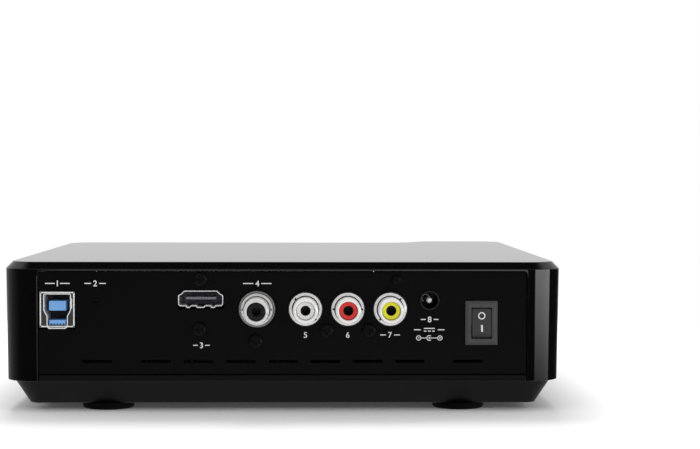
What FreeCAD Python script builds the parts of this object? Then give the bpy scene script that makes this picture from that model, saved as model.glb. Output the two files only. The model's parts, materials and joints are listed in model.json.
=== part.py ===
# Media player with a slide-in hard drive tray, as an assembly of separate pieces.
# Millimetres, +Z up. The sockets are on the rear, which faces +Y, and the tray opens towards -Y.
# The origin is at the centre of the bottom of the whole object's box, on the surface it stands on.
import FreeCAD, Part
import math
import os

V = FreeCAD.Vector

# ---------------------------------------------------------------- case
CASE_WIDTH = 184.0
CASE_DEPTH = 174.0          # rear face to the main front face
CASE_TOP = 49.3             # top face above the floor
CORNER_RADIUS = 11.5        # plan corners
TOP_CHAMFER = 2.3
COVER_WALL = 2.5
COVER_BOTTOM = 10.1         # lower edge of the cover
SIDE_DRAFT = 0.6            # the cover's walls lean in by this much towards their lower edge
CASE_GAP = 0.3              # gap between neighbouring case parts
POD_REACH = 16.0            # the left part of the front stands this far forward
POD_WIDTH = 40.0            # from the left side to the middle of the curve beside the pod
POD_CURVE = 12.0            # radius of both halves of that curve
OPENING_INSET = 11.7        # from the case's sides to the openings in its rear and front
OPENING_TOP = 46.4
OPENING_ROUND = 1.2

BASE_WALL = 1.8
BASE_FLOOR = 2.0
BASE_SLOPE = 5.2            # the base narrows by this much towards the floor
BASE_RIDGE = 3.3            # the base rises this far inside the cover
SILL_TOP = 12.3             # the base shows up to here below the panel and the bezel
SILL_DEPTH = 3.5

FOOT_HEIGHT = 2.2
FOOT_RADIUS = 8.6
FOOT_ROUND = 0.8
FOOT_SIDE_INSET = 33.4      # foot centre to the side
FOOT_INSET = 15.0           # foot centre to the front or rear face

# ---------------------------------------------------------------- fasteners
CASE_POST_INSET = 12.5      # from the sides
CASE_POST_INSET_REAR = 26.75
CASE_POST_INSET_FRONT = 13.25
CASE_POST_RADIUS = 3.25
CASE_POST_JOINT = 16.0      # the cover's posts stand on the base's posts here
HEAD_HEIGHT = 1.6
HEAD_RADIUS = 2.25
SHANK_RADIUS = 1.2
SCREW_CLEARANCE = 0.1       # radial, around a shank
HEAD_CLEARANCE = 0.4        # radial, around a head
CROSS_WIDTH = 0.55          # slots of the cross recess
CROSS_DEPTH = 0.9
CASE_SCREW_LENGTH = 18.0
CASE_SCREW_RECESS = 2.2
BOARD_SCREW_LENGTH = 5.0
PANEL_SCREW_LENGTH = 4.0
BOSS_WALL = 1.3

# ---------------------------------------------------------------- rear panel and its sockets
PANEL_RECESS = 0.8
PANEL_THICK = 1.5
CUTOUT_GAP = 0.2            # around sockets in the panel
VENT_WIDTH = 9.7
VENT_HEIGHT = 1.0
VENT_Z = 16.7
VENT_PITCH, VENT_ROW = 13.87, 7         # the middle vents; one more stands at each end
VENT_END_INSET = 19.5                   # from the opening's side to the end vents

DATA_INSET, DATA_Z = 18.0, 33.6         # square data socket, upside down; from the right side
DATA_WIDTH, DATA_HEIGHT = 11.7, 12.4
DATA_DEPTH = 17.0
DATA_PROUD = 0.6
DATA_METAL = 0.45
DATA_BORE_DEPTH = 9.0
DATA_FACE_SET = 0.3                     # the plate round the bore lies this far inside the rim
DATA_WIDE, DATA_NARROW = 4.2, 3.15      # half-widths of the bore's upper and lower parts
DATA_STEP_TOP, DATA_STEP_LOW = -0.1, -2.0   # the slope between them, from the middle
DATA_BORE_TOP, DATA_BORE_LOW = 5.1, -5.2
DATA_TONGUE = (2.9, -0.3, 3.0, 1.2)     # half-width, bottom, top, and how far inside the rim
DATA_LEDGE = (2.8, -4.7, -3.1, 0.8)
DATA_PIN, DATA_PIN_SPACE = 1.0, 4.0     # solder pins: width, and behind the panel

VIDEO_SPACE, VIDEO_Z = 18.45, 36.9      # flat video socket, upside down; from the coaxial one
VIDEO_WIDTH, VIDEO_HEIGHT = 15.1, 5.9
VIDEO_CORNER_X, VIDEO_CORNER_Z = 2.3, 1.5
VIDEO_CORNER_LOW = 0.7
VIDEO_DEPTH = 11.5
VIDEO_PROUD = 0.3
VIDEO_METAL = 0.4
VIDEO_FLANGE = 1.0
VIDEO_FLANGE_WIDTH = 8.0
VIDEO_TONGUE_WIDTH, VIDEO_TONGUE_THICK = 10.0, 0.8
VIDEO_TONGUE_RISE, VIDEO_TONGUE_SET = 0.5, 1.2
VIDEO_INSERT_THICK = 3.0
VIDEO_SCREW_OFFSETS = ((0.05, 43.7), (0.45, 27.3))   # from the socket's middle, and height

PHONO_Z = 33.9
PHONO_SLEEVE = 4.15                     # outer radius
PHONO_BORE = 3.05
PHONO_TIP_ROUND = 0.45
PHONO_FLANGE = 5.4
PHONO_FLANGE_THICK = 0.5
PHONO_PIN_HOLE = 1.65
PHONO_BODY_DEPTH = 12.0
AV_SPACE, AV_PITCH = 13.0, 13.9         # from the power inlet to the first, and between them
AV_RING = 5.85
AV_RING_PROUD = 0.5
AV_REACH = 9.0                          # from the case's rear face
AV_INSULATOR_SET = 2.2                  # the insulator's face lies this far inside the tip
AV_SCREW_Z = 26.9
COAX_SPACE = 15.9                       # from the nearest of the three
COAX_RING = 6.15
COAX_REACH = 12.5                       # from the case's rear face
COAX_INSULATOR_SET = 1.6
COAX_COLLAR, COAX_COLLAR_PROUD = 5.25, 2.6
COAX_SCREW_OFFSET, COAX_SCREW_Z = 0.4, 23.3
EAR_HALF, EAR_THICK = 3.4, 3.0          # screw ears of the socket bodies

DC_SPACE, DC_Z = 17.0, 36.7              # power inlet; from the switch
DC_BARREL, DC_BORE, DC_PIN = 3.25, 2.75, 1.0
DC_BODY_HALF = 4.5
DC_BODY_BOTTOM = 31.8
DC_DEPTH = 14.0
DC_BORE_DEPTH = 9.5
DC_PIN_SET = 1.6

COVER_SCREW_OFFSET, COVER_SCREW_Z = 2.0, 43.5   # the panel's screw into the cover
COVER_SCREW_HEAD = 1.55

RESET_SPACE, RESET_Z = 12.8, 36.4       # from the data socket
RESET_HOLE = 0.55
RESET_DIMPLE, RESET_DIMPLE_DEPTH = 1.3, 0.4
RESET_HALF, RESET_BOTTOM = 3.0, 33.4
RESET_DEPTH = 4.4
RESET_PLUNGER, RESET_PLUNGER_LENGTH = 1.2, 2.6
RESET_TRAVEL = 0.3
RESET_GAP = 0.55                        # plunger to the panel

SWITCH_INSET, SWITCH_Z = 26.9, 29.4     # from the left side
SWITCH_WIDTH, SWITCH_HEIGHT = 10.6, 14.5
SWITCH_BEZEL, SWITCH_MITRE = 1.8, 0.9
SWITCH_OPEN_WIDTH, SWITCH_OPEN_HEIGHT = 6.7, 10.2
SWITCH_LIP = 0.6
SWITCH_BODY_WIDTH, SWITCH_BODY_HEIGHT = 9.2, 12.9
SWITCH_BODY_DEPTH = 13.0
SWITCH_CAVITY_HEIGHT = 11.4
SWITCH_CAVITY_DEPTH = 8.5
ROCKER_WIDTH = 6.3
ROCKER_PIVOT_DEPTH = 3.0                # below the bezel's face
ROCKER_RADIUS = 5.4                     # of the ends, about the pivot
ROCKER_SWING = 20.0                     # degrees between off and on
ROCKER_TAIL = 2.2                       # below the pivot
ROCKER_PIN, ROCKER_PIN_LENGTH = 0.8, 0.8
RUNNING_CLEARANCE = 0.05
TERMINAL_THICK, TERMINAL_WIDTH = 0.8, 3.0
TERMINAL_SPACING = 4.8

# ---------------------------------------------------------------- boards
BOARD_BOTTOM, BOARD_THICK = 40.6, 1.6
BOARD_LEFT_INSET, BOARD_RIGHT_INSET = 17.0, 10.0    # from the case's sides
BOARD_CAGE_GAP = 2.2        # from the drive cage to the board's column
BOARD_FRONT_INSET = 15.0
BOARD_REAR_INSET, BOARD_STRIP = 5.75, 12.5
BOARD_BOSS_LEFT, BOARD_BOSS_RIGHT = 3.5, 4.0        # from the column's edges
BOARD_BOSS_FRONTS = (27.25, 19.25)      # behind the front, left and right
BOARD_BOSS_REAR, STRIP_BOSS_REAR = 43.75, 12.25     # ahead of the rear
STRIP_BOSS_SPACE = 5.6                  # from the reset switch
BOARD_BOSS_RADIUS = 3.0

PROCESSOR_REACH = 77.25                 # behind the front
PROCESSOR_SIZE, PROCESSOR_THICK = 25.0, 2.2
SINK_SIZE, SINK_BASE, SINK_FIN_HEIGHT = 32.0, 2.5, 8.0
SINK_CAGE_GAP = 2.0                     # from the drive cage
SINK_FINS, SINK_FIN_THICK = 9, 1.2
MEMORY_WIDTH, MEMORY_LENGTH, MEMORY_THICK = 9.0, 13.0, 1.2
MEMORY_SPACE_X, MEMORY_SPACE_Y = 7.5, 30.0          # from the processor's middle
CAPACITOR_RADIUS, CAPACITOR_HEIGHT = 3.15, 11.0
CAPACITOR_PITCH = 8.5
CAPACITOR_REAR, CAPACITOR_FRONT = 28.75, 35.25       # ahead of the rear, behind the front

FRONT_BOARD_SET = 9.25                  # from the pod's front face
FRONT_BOARD_INSET, FRONT_BOARD_WIDTH = 8.0, 23.5    # from the left side
FRONT_BOARD_BOTTOM, FRONT_BOARD_TOP = 13.6, 43.6
FRONT_BOSS_OFFSETS = ((7.0, 41.0), (-5.4, 41.0), (0.0, 16.0))   # from the button, and height
FRONT_BOSS_RADIUS = 2.0
RIBBON_THICK = 0.3
FRONT_RIBBON_WIDTH = 6.0
FRONT_RIBBON_START = 34.0
FRONT_RIBBON_LAP, FRONT_RIBBON_RISE = 7.0, 1.6
DRIVE_RIBBON_INSET, DRIVE_RIBBON_WIDTH = 9.0, 16.0

# ---------------------------------------------------------------- front
BEZEL_RECESS, BEZEL_THICK = 0.4, 2.2
BUTTON_INSET, BUTTON_Z = 20.0, 32.0     # from the left side; the window stands below
BUTTON_RADIUS, BUTTON_PROUD = 4.5, 0.3
BUTTON_FLANGE, BUTTON_FLANGE_THICK = 5.8, 1.0
BUTTON_STEM = 2.0
BUTTON_GAP = 0.3
BUTTON_TRAVEL = 0.8
TACT_HALF, TACT_THICK, TACT_NUB = 3.0, 2.6, 1.4
WINDOW_Z = 22.0
WINDOW_WIDTH, WINDOW_HEIGHT = 14.0, 4.6
WINDOW_ROUND, WINDOW_FLANGE = 1.5, 1.0
LED_RADIUS, LED_LENGTH = 1.3, 4.2
LED_OFFSETS = (1.0, 5.0)                # from the window's middle
RECEIVER_OFFSET, RECEIVER_SIZE, RECEIVER_DEPTH = -4.0, 5.0, 3.6

# ---------------------------------------------------------------- hard drive, tray and cage
DRIVE_WIDTH, DRIVE_LENGTH, DRIVE_HEIGHT = 101.6, 147.0, 26.1
DRIVE_GAP = 0.3                         # around the drive in its tray
DRIVE_CORNER = 3.0
LID_INSET, LID_THICK = 2.0, 1.5
DRIVE_BOARD_INSET, DRIVE_BOARD_SET, DRIVE_BOARD_THICK = 6.0, 0.6, 1.6
DRIVE_BOARD_LENGTH = 95.0
DRIVE_SCREW_Z = 6.35                    # side screws above the drive's bottom
DRIVE_SCREW_REARS = (28.5, 130.1)       # side screws ahead of the drive's rear
DRIVE_SCREW_RADIUS, DRIVE_SCREW_LENGTH = 1.5, 5.0
DRIVE_HEAD_RADIUS, DRIVE_HEAD_HEIGHT = 2.7, 1.2
PLUG_OFFSET = 12.0                      # plug centre, right of the drive's centre
PLUG_WIDTH, PLUG_HEIGHT = 41.6, 7.0
NOTCH_DEPTH, NOTCH_GAP = 6.0, 0.4
PLUG_BACK = 1.25
TONGUE_THICK, TONGUE_Z, TONGUE_SET = 1.2, 4.1, 0.25
POWER_TONGUE, SIGNAL_TONGUE, TONGUE_SPACE = 20.6, 10.4, 3.0
SOCKET_GAP = 0.4

TRAY_WALL, TRAY_FLOOR, TRAY_FRONT = 2.3, 1.4, 1.5
TRAY_SIDE_HEIGHT = 17.0
TRAY_FRONT_GAP = 0.5
TRAY_SHORT = 2.5                        # the tray ends this far ahead of the drive's rear
TRAY_SLOT_WIDTH, TRAY_SLOT_LENGTH, TRAY_SLOTS = 6.0, 34.0, 6
RAIL_GAP = 0.4                          # tray to cage
CAGE_WALL = 1.0
CAGE_LIP = 2.0
CAGE_POST_GAP = 0.75                    # from the cage to the right posts of the case
CAGE_SCREW_HALF_X, CAGE_SCREW_HALF_Y = 40.0, 55.0
CAGE_BOSS_RADIUS = 4.0
BACKPLANE_GAP, BACKPLANE_THICK = 2.25, 1.6
BACKPLANE_HALF, BACKPLANE_TOP = 51.0, 26.0
RIB_HALF, RIB_WALL, RIB_TOP, RIB_GAP = 2.5, 1.3, 17.0, 0.1
RIB_INSET = 4.0

FASCIA_LAP, FASCIA_TOP = 2.6, 44.0      # past the tray's sides
FASCIA_THICK = 4.6
FASCIA_GAP = 0.4
FASCIA_ROUND = 1.0
HANDLE_Z, HANDLE_HEIGHT, HANDLE_THICK = 28.5, 12.0, 3.0
HANDLE_RIGHT, HANDLE_LEFT = 10.0, 24.0  # from the fascia's ends
HANDLE_GAP = 0.4
HANDLE_PIN, HANDLE_PIN_GRIP = 0.8, 3.0
GRIP_RIBS, GRIP_RIB_WIDTH, GRIP_RIB_DEPTH, GRIP_PITCH = 5, 0.8, 0.5, 2.0
LATCH_WIDTH, LATCH_SPACE = 12.0, 3.0
LATCH_FLANGE, LATCH_FLANGE_THICK = 1.0, 0.7
LATCH_THICK = 3.0
SPRING_THICK, SPRING_HEIGHT = 0.3, 5.0

# ---------------------------------------------------------------- places worked out from these
TOUCH = 1e-6
BIG = 4 * (CASE_WIDTH + CASE_DEPTH)     # larger than the object, for cutting
HALF_WIDTH = CASE_WIDTH / 2
OPENING_HALF = HALF_WIDTH - OPENING_INSET
POD_EDGE_X = POD_WIDTH - HALF_WIDTH
REAR_Y = (POD_REACH + CASE_DEPTH - COAX_REACH) / 2
FRONT_Y = REAR_Y - CASE_DEPTH
POD_Y = FRONT_Y - POD_REACH
CEILING = CASE_TOP - COVER_WALL
BASE_INSET = COVER_WALL + CASE_GAP      # the base stands inside the cover
FLOOR_Z = FOOT_HEIGHT + BASE_FLOOR
PANEL_FACE = REAR_Y - PANEL_RECESS
PANEL_BACK = PANEL_FACE - PANEL_THICK
FRAME_BOTTOM = SILL_TOP + CASE_GAP      # lower edge of the panel, bezel, tray and fascia
BOARD_TOP = BOARD_BOTTOM + BOARD_THICK
BOARD_REAR_Y = REAR_Y - BOARD_REAR_INSET
BOARD_STRIP_Y = BOARD_REAR_Y - BOARD_STRIP
BOARD_FRONT_Y = FRONT_Y + BOARD_FRONT_INSET
CASE_POST_X = HALF_WIDTH - CASE_POST_INSET
CASE_POST_YS = (FRONT_Y + CASE_POST_INSET_FRONT, REAR_Y - CASE_POST_INSET_REAR)
CASE_SCREW_ROOM = HEAD_RADIUS + HEAD_CLEARANCE
FOOT_X = HALF_WIDTH - FOOT_SIDE_INSET
BEZEL_FACE = FRONT_Y + BEZEL_RECESS
POD_FACE = POD_Y + BEZEL_RECESS
POD_BACK = POD_FACE + BEZEL_THICK
FRONT_BOARD_Y = POD_Y + FRONT_BOARD_SET
FASCIA_BACK = BEZEL_FACE + FASCIA_THICK
DRIVE_FRONT_Y = FASCIA_BACK + TRAY_FRONT + TRAY_FRONT_GAP
DRIVE_REAR_Y = DRIVE_FRONT_Y + DRIVE_LENGTH
DRIVE_HALF = DRIVE_WIDTH / 2
TRAY_BOTTOM = FRAME_BOTTOM
DRIVE_BOTTOM = TRAY_BOTTOM + TRAY_FLOOR + DRIVE_GAP
DRIVE_TOP = DRIVE_BOTTOM + DRIVE_HEIGHT
TRAY_INNER = DRIVE_HALF + DRIVE_GAP
TRAY_OUTER = TRAY_INNER + TRAY_WALL
TRAY_REAR_Y = DRIVE_REAR_Y - TRAY_SHORT
CAGE_INNER = TRAY_OUTER + RAIL_GAP
CAGE_OUTER = CAGE_INNER + CAGE_WALL
DRIVE_X = CASE_POST_X - CASE_SCREW_ROOM - BOSS_WALL - CAGE_POST_GAP - CAGE_OUTER
CAGE_LEFT_X = DRIVE_X - CAGE_OUTER
CAGE_FRONT_Y = FASCIA_BACK
CAGE_REAR_Y = DRIVE_REAR_Y + DRIVE_GAP
CAGE_BOTTOM = SILL_TOP - CAGE_WALL
CAGE_TOP = TRAY_BOTTOM + TRAY_SIDE_HEIGHT + RAIL_GAP
CAGE_MID_Y = (CAGE_FRONT_Y + CAGE_REAR_Y) / 2
PLUG_X = DRIVE_X + PLUG_OFFSET
NOTCH_Y = DRIVE_REAR_Y - NOTCH_DEPTH
BACKPLANE_Y = DRIVE_REAR_Y + BACKPLANE_GAP
FASCIA_HALF = TRAY_OUTER + FASCIA_LAP
HANDLE_PIVOT_X = DRIVE_X + FASCIA_HALF - HANDLE_RIGHT
HANDLE_LENGTH = 2 * FASCIA_HALF - HANDLE_RIGHT - HANDLE_LEFT
HANDLE_PIVOT_Y = BEZEL_FACE + HANDLE_THICK / 2
POCKET_LEFT = HANDLE_PIVOT_X - HANDLE_LENGTH - HANDLE_GAP
POCKET_RIGHT = HANDLE_PIVOT_X + HANDLE_THICK / 2 + HANDLE_GAP
LATCH_RIGHT = POCKET_LEFT - LATCH_SPACE
LATCH_LEFT = LATCH_RIGHT - LATCH_WIDTH
SWITCH_X = SWITCH_INSET - HALF_WIDTH
DC_X = SWITCH_X + DC_SPACE
AV_XS = tuple(DC_X + AV_SPACE + AV_PITCH * place for place in (2, 1, 0))    # left, right, video
AV_SCREWS = tuple((x - AV_PITCH / 2, AV_SCREW_Z) for x in AV_XS[:2])
COVER_SCREW = (AV_XS[2] - COVER_SCREW_OFFSET, COVER_SCREW_Z)
COAX_X = AV_XS[0] + COAX_SPACE
COAX_SCREW = (COAX_X + COAX_SCREW_OFFSET, COAX_SCREW_Z)
VIDEO_X = COAX_X + VIDEO_SPACE
VIDEO_SCREWS = tuple((VIDEO_X + offset, z) for offset, z in VIDEO_SCREW_OFFSETS)
DATA_X = HALF_WIDTH - DATA_INSET
RESET_X = DATA_X - RESET_SPACE
VENT_END_X = OPENING_HALF - VENT_END_INSET
VENT_XS = (-VENT_END_X, *(VENT_PITCH * (place - VENT_ROW // 2) for place in range(VENT_ROW)), VENT_END_X)
BOARD_LEFT_X = BOARD_LEFT_INSET - HALF_WIDTH
BOARD_RIGHT_X = HALF_WIDTH - BOARD_RIGHT_INSET
BOARD_COLUMN_X = CAGE_LEFT_X - BOARD_CAGE_GAP
BOARD_BOSSES = (
    (BOARD_LEFT_X + BOARD_BOSS_LEFT, FRONT_Y + BOARD_BOSS_FRONTS[0]),
    (BOARD_COLUMN_X - BOARD_BOSS_RIGHT, FRONT_Y + BOARD_BOSS_FRONTS[1]),
    (BOARD_LEFT_X + BOARD_BOSS_LEFT, REAR_Y - BOARD_BOSS_REAR),
    (BOARD_COLUMN_X - BOARD_BOSS_RIGHT, REAR_Y - BOARD_BOSS_REAR),
    (RESET_X - STRIP_BOSS_SPACE, REAR_Y - STRIP_BOSS_REAR))
PROCESSOR_X = CAGE_LEFT_X - SINK_CAGE_GAP - SINK_SIZE / 2
PROCESSOR_Y = FRONT_Y + PROCESSOR_REACH
MEMORY_XS = (PROCESSOR_X - MEMORY_SPACE_X, PROCESSOR_X + MEMORY_SPACE_X)
MEMORY_YS = (PROCESSOR_Y + MEMORY_SPACE_Y, PROCESSOR_Y - MEMORY_SPACE_Y)
CAPACITOR_Y = REAR_Y - CAPACITOR_REAR
CAPACITORS = ((PROCESSOR_X, CAPACITOR_Y), (PROCESSOR_X + CAPACITOR_PITCH, CAPACITOR_Y),
              (PROCESSOR_X, CAPACITOR_Y - CAPACITOR_PITCH), (PROCESSOR_X, FRONT_Y + CAPACITOR_FRONT))
BUTTON_X = WINDOW_X = BUTTON_INSET - HALF_WIDTH
LED_XS = tuple(WINDOW_X + offset for offset in LED_OFFSETS)
RECEIVER_X = WINDOW_X + RECEIVER_OFFSET
FRONT_BOARD_LEFT = FRONT_BOARD_INSET - HALF_WIDTH
FRONT_BOARD_RIGHT = FRONT_BOARD_LEFT + FRONT_BOARD_WIDTH
FRONT_BOSSES = tuple((BUTTON_X + offset, z) for offset, z in FRONT_BOSS_OFFSETS)
DRIVE_RIBBON_LEFT = DRIVE_X - BACKPLANE_HALF + DRIVE_RIBBON_INSET
SWITCH_FACE = PANEL_FACE + SWITCH_BEZEL
ROCKER_Y = SWITCH_FACE - ROCKER_PIVOT_DEPTH


# ---------------------------------------------------------------- shape helpers
def box(x0, x1, y0, y1, z0, z1):
    return Part.makeBox(x1 - x0, y1 - y0, z1 - z0, V(x0, y0, z0))


def rod_x(x0, x1, y, z, radius):
    return Part.makeCylinder(radius, x1 - x0, V(x0, y, z), V(1, 0, 0))


def rod_y(x, y0, y1, z, radius):
    return Part.makeCylinder(radius, y1 - y0, V(x, y0, z), V(0, 1, 0))


def rod_z(x, y, z0, z1, radius):
    return Part.makeCylinder(radius, z1 - z0, V(x, y, z0), V(0, 0, 1))


def fused(shapes):
    """One solid from overlapping or touching shapes."""
    shapes = list(shapes)
    whole = shapes[0]
    for shape in shapes[1:]:
        whole = whole.fuse(shape)
    return whole.removeSplitter()


def cut_all(shape, tools):
    for tool in tools:
        shape = shape.cut(tool)
    return shape


def group(shapes):
    """Separate solids that share one node."""
    return Part.makeCompound(list(shapes))


def edges_along(shape, axis):
    """Straight edges parallel to one axis, given as a unit vector."""
    def runs_along(edge):
        if edge.Curve.TypeId != "Part::GeomLine":
            return False
        return abs(abs(edge.Curve.Direction.dot(axis)) - 1) < TOUCH
    return [edge for edge in shape.Edges if runs_along(edge)]


def round_bar_y(x0, x1, y0, y1, z0, z1, radius):
    """A box with its four edges along Y rounded."""
    shape = box(x0, x1, y0, y1, z0, z1)
    return shape.makeFillet(radius, edges_along(shape, V(0, 1, 0)))


def prism_x(points_yz, x0, x1):
    wire = Part.makePolygon([V(x0, y, z) for y, z in points_yz + points_yz[:1]])
    return Part.Face(wire).extrude(V(x1 - x0, 0, 0))


def prism_y(points_xz, y0, y1):
    wire = Part.makePolygon([V(x, y0, z) for x, z in points_xz + points_xz[:1]])
    return Part.Face(wire).extrude(V(0, y1 - y0, 0))


def arc_edge(centre, radius, start, end):
    """An arc in the plane of its centre, between two angles in degrees."""
    def at(angle):
        turn = math.radians(angle)
        return centre + V(radius * math.cos(turn), radius * math.sin(turn), 0)
    return Part.Arc(at(start), at((start + end) / 2), at(end)).toShape()


def plan_outline(inset, z):
    """The case's plan outline, moved inwards by inset, with the pod at its left front."""
    corner_x = HALF_WIDTH - CORNER_RADIUS
    turn = math.acos(1 - POD_REACH / (2 * POD_CURVE))
    half_curve = POD_CURVE * math.sin(turn)
    turn_deg = math.degrees(turn)
    corner = CORNER_RADIUS - inset
    arcs = [
        arc_edge(V(corner_x, REAR_Y - CORNER_RADIUS, z), corner, 0, 90),
        arc_edge(V(-corner_x, REAR_Y - CORNER_RADIUS, z), corner, 90, 180),
        arc_edge(V(-corner_x, POD_Y + CORNER_RADIUS, z), corner, 180, 270),
        arc_edge(V(POD_EDGE_X - half_curve, POD_Y + POD_CURVE, z),
                 POD_CURVE - inset, 270, 270 + turn_deg),
        arc_edge(V(POD_EDGE_X + half_curve, FRONT_Y - POD_CURVE, z),
                 POD_CURVE + inset, 90 + turn_deg, 90),
        arc_edge(V(corner_x, FRONT_Y + CORNER_RADIUS, z), corner, 270, 360),
    ]
    edges = []
    for arc, following in zip(arcs, arcs[1:] + arcs[:1]):
        edges.append(arc)
        end = arc.valueAt(arc.LastParameter)
        start = following.valueAt(following.FirstParameter)
        if (end - start).Length > TOUCH * 100:
            edges.append(Part.makeLine(end, start))
    return Part.Wire(edges)


def plan_block(inset, z0, z1):
    return Part.Face(plan_outline(inset, z0)).extrude(V(0, 0, z1 - z0))


def plan_taper(inset0, z0, inset1, z1):
    return Part.makeLoft([plan_outline(inset0, z0), plan_outline(inset1, z1)], True, True)


def plan_ring(outer, inner, z0, z1):
    return plan_block(outer, z0, z1).cut(plan_block(inner, z0, z1))


def pan_screw(length, head_radius=HEAD_RADIUS, shank_radius=SHANK_RADIUS):
    """A pan-head screw with a cross recess: the shank runs up +Z from the head's seat at z 0."""
    head = rod_z(0, 0, -HEAD_HEIGHT, 0, head_radius)
    rim = [edge for edge in head.Edges if abs(edge.BoundBox.ZMax + HEAD_HEIGHT) < TOUCH * 100]
    head = head.makeFillet(HEAD_HEIGHT * 0.45, rim)
    half = head_radius * 0.55
    for across in (True, False):
        x, y = (half, CROSS_WIDTH / 2) if across else (CROSS_WIDTH / 2, half)
        head = head.cut(box(-x, x, -y, y, -HEAD_HEIGHT, CROSS_DEPTH - HEAD_HEIGHT))
    return head.fuse(rod_z(0, 0, 0, length, shank_radius)).removeSplitter()


def placed(shape, position, direction=V(0, 0, 1)):
    """A copy of a shape built up +Z at the origin, moved so that +Z points along direction."""
    copy = shape.copy()
    copy.Placement = FreeCAD.Placement(position, FreeCAD.Rotation(V(0, 0, 1), direction))
    return copy


def strip(points_yz, thickness, x0, x1):
    """A bent flat ribbon: the points run along its middle in the YZ plane."""
    pieces = []
    for (ya, za), (yb, zb) in zip(points_yz, points_yz[1:]):
        run = math.hypot(yb - ya, zb - za)
        side_y, side_z = (za - zb) / run * thickness / 2, (yb - ya) / run * thickness / 2
        pieces.append(prism_x([(ya - side_y, za - side_z), (yb - side_y, zb - side_z),
                               (yb + side_y, zb + side_z), (ya + side_y, za + side_z)], x0, x1))
    pieces += [rod_x(x0, x1, y, z, thickness / 2) for y, z in points_yz[1:-1]]
    return fused(pieces)


# ---------------------------------------------------------------- case parts
def opening_block(gap=0.0):
    """The openings through the cover's rear and front, rounded at their top corners.
    A gap gives the outline of what stands in them."""
    half = OPENING_HALF - gap
    block = box(-half, half, -BIG, BIG, -BIG, OPENING_TOP - gap)
    top = [edge for edge in edges_along(block, V(0, 1, 0)) if edge.BoundBox.ZMin > 0]
    return block.makeFillet(OPENING_ROUND - gap, top)


def case_post_places():
    return [(side * CASE_POST_X, y) for side in (-1, 1) for y in CASE_POST_YS]


def top_cover():
    walls_top = CASE_TOP - TOP_CHAMFER
    cover = fused([plan_taper(SIDE_DRAFT, COVER_BOTTOM, 0, walls_top),
                   plan_taper(0, walls_top, TOP_CHAMFER, CASE_TOP)])
    cover = cover.cut(plan_block(COVER_WALL, COVER_BOTTOM, CEILING))
    openings = opening_block().cut(box(-BIG, BIG, FRONT_Y + COVER_WALL * 2, REAR_Y - COVER_WALL * 2,
                                       -BIG, BIG))
    cover = cover.cut(openings)
    pieces = [cover]
    pilot = SHANK_RADIUS + SCREW_CLEARANCE
    root = CEILING + COVER_WALL / 2
    screw_top = FOOT_HEIGHT + CASE_SCREW_RECESS + CASE_SCREW_LENGTH + CASE_GAP
    for x, y in case_post_places():
        post = rod_z(x, y, CASE_POST_JOINT, root, CASE_POST_RADIUS)
        pieces.append(post.cut(rod_z(x, y, CASE_POST_JOINT, screw_top, pilot)))
    for x, y in BOARD_BOSSES:
        tip = BOARD_BOTTOM + BOARD_SCREW_LENGTH + CASE_GAP
        post = rod_z(x, y, BOARD_TOP, root, BOARD_BOSS_RADIUS)
        pieces.append(post.cut(rod_z(x, y, BOARD_TOP, tip, pilot)))
    x, z = COVER_SCREW
    half = SHANK_RADIUS + SCREW_CLEARANCE + BOSS_WALL
    lug = box(x - half, x + half, BOARD_REAR_Y + CASE_GAP, PANEL_BACK, z - half, root)
    pieces.append(lug.cut(rod_y(x, BOARD_REAR_Y, PANEL_BACK, z, pilot)))
    return fused(pieces)


def base_shell():
    shell = plan_taper(BASE_INSET + BASE_SLOPE, FOOT_HEIGHT, BASE_INSET, COVER_BOTTOM)
    ridge_top = COVER_BOTTOM + BASE_RIDGE
    shell = shell.fuse(plan_block(BASE_INSET, COVER_BOTTOM, ridge_top))
    inner = BASE_INSET + BASE_WALL
    hollow = plan_taper(inner + BASE_SLOPE, FLOOR_Z, inner, COVER_BOTTOM)
    shell = shell.cut(hollow.fuse(plan_block(inner, COVER_BOTTOM, ridge_top)))
    sill_half = OPENING_HALF - CASE_GAP
    sill = plan_ring(SIDE_DRAFT, SILL_DEPTH, COVER_BOTTOM, SILL_TOP)
    pieces = [shell, sill.common(box(-sill_half, sill_half, -BIG, BIG, 0, BIG))]
    for x, y in case_post_places():
        pieces.append(rod_z(x, y, FOOT_HEIGHT, CASE_POST_JOINT, CASE_SCREW_ROOM + BOSS_WALL))
    boss_foot = FLOOR_Z - BASE_FLOOR / 2
    for x, y in cage_screw_places():
        pieces.append(rod_z(x, y, boss_foot, CAGE_BOTTOM, CAGE_BOSS_RADIUS))
    for x in rib_places():
        pieces.append(box(x - RIB_HALF, x + RIB_HALF, BACKPLANE_Y - RIB_GAP - RIB_WALL,
                          BACKPLANE_Y + BACKPLANE_THICK + RIB_GAP + RIB_WALL, boss_foot, RIB_TOP))
    shell = fused(pieces)
    cuts = [box(DRIVE_X - FASCIA_HALF - FASCIA_GAP, DRIVE_X + FASCIA_HALF + FASCIA_GAP,
                POD_Y, CAGE_FRONT_Y + CASE_GAP, SILL_TOP, BIG),
            box(DRIVE_X - BACKPLANE_HALF - RIB_GAP, DRIVE_X + BACKPLANE_HALF + RIB_GAP,
                BACKPLANE_Y - RIB_GAP, BACKPLANE_Y + BACKPLANE_THICK + RIB_GAP,
                FRAME_BOTTOM - RIB_GAP, BIG)]
    hole = SHANK_RADIUS + SCREW_CLEARANCE
    for x, y in case_post_places():
        cuts.append(rod_z(x, y, 0, FOOT_HEIGHT + CASE_SCREW_RECESS, CASE_SCREW_ROOM))
        cuts.append(rod_z(x, y, 0, CASE_POST_JOINT, hole))
    for x, y in cage_screw_places():
        cuts.append(rod_z(x, y, SILL_TOP - BOARD_SCREW_LENGTH - CASE_GAP, CAGE_BOTTOM, hole))
    return cut_all(shell, cuts)


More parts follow.
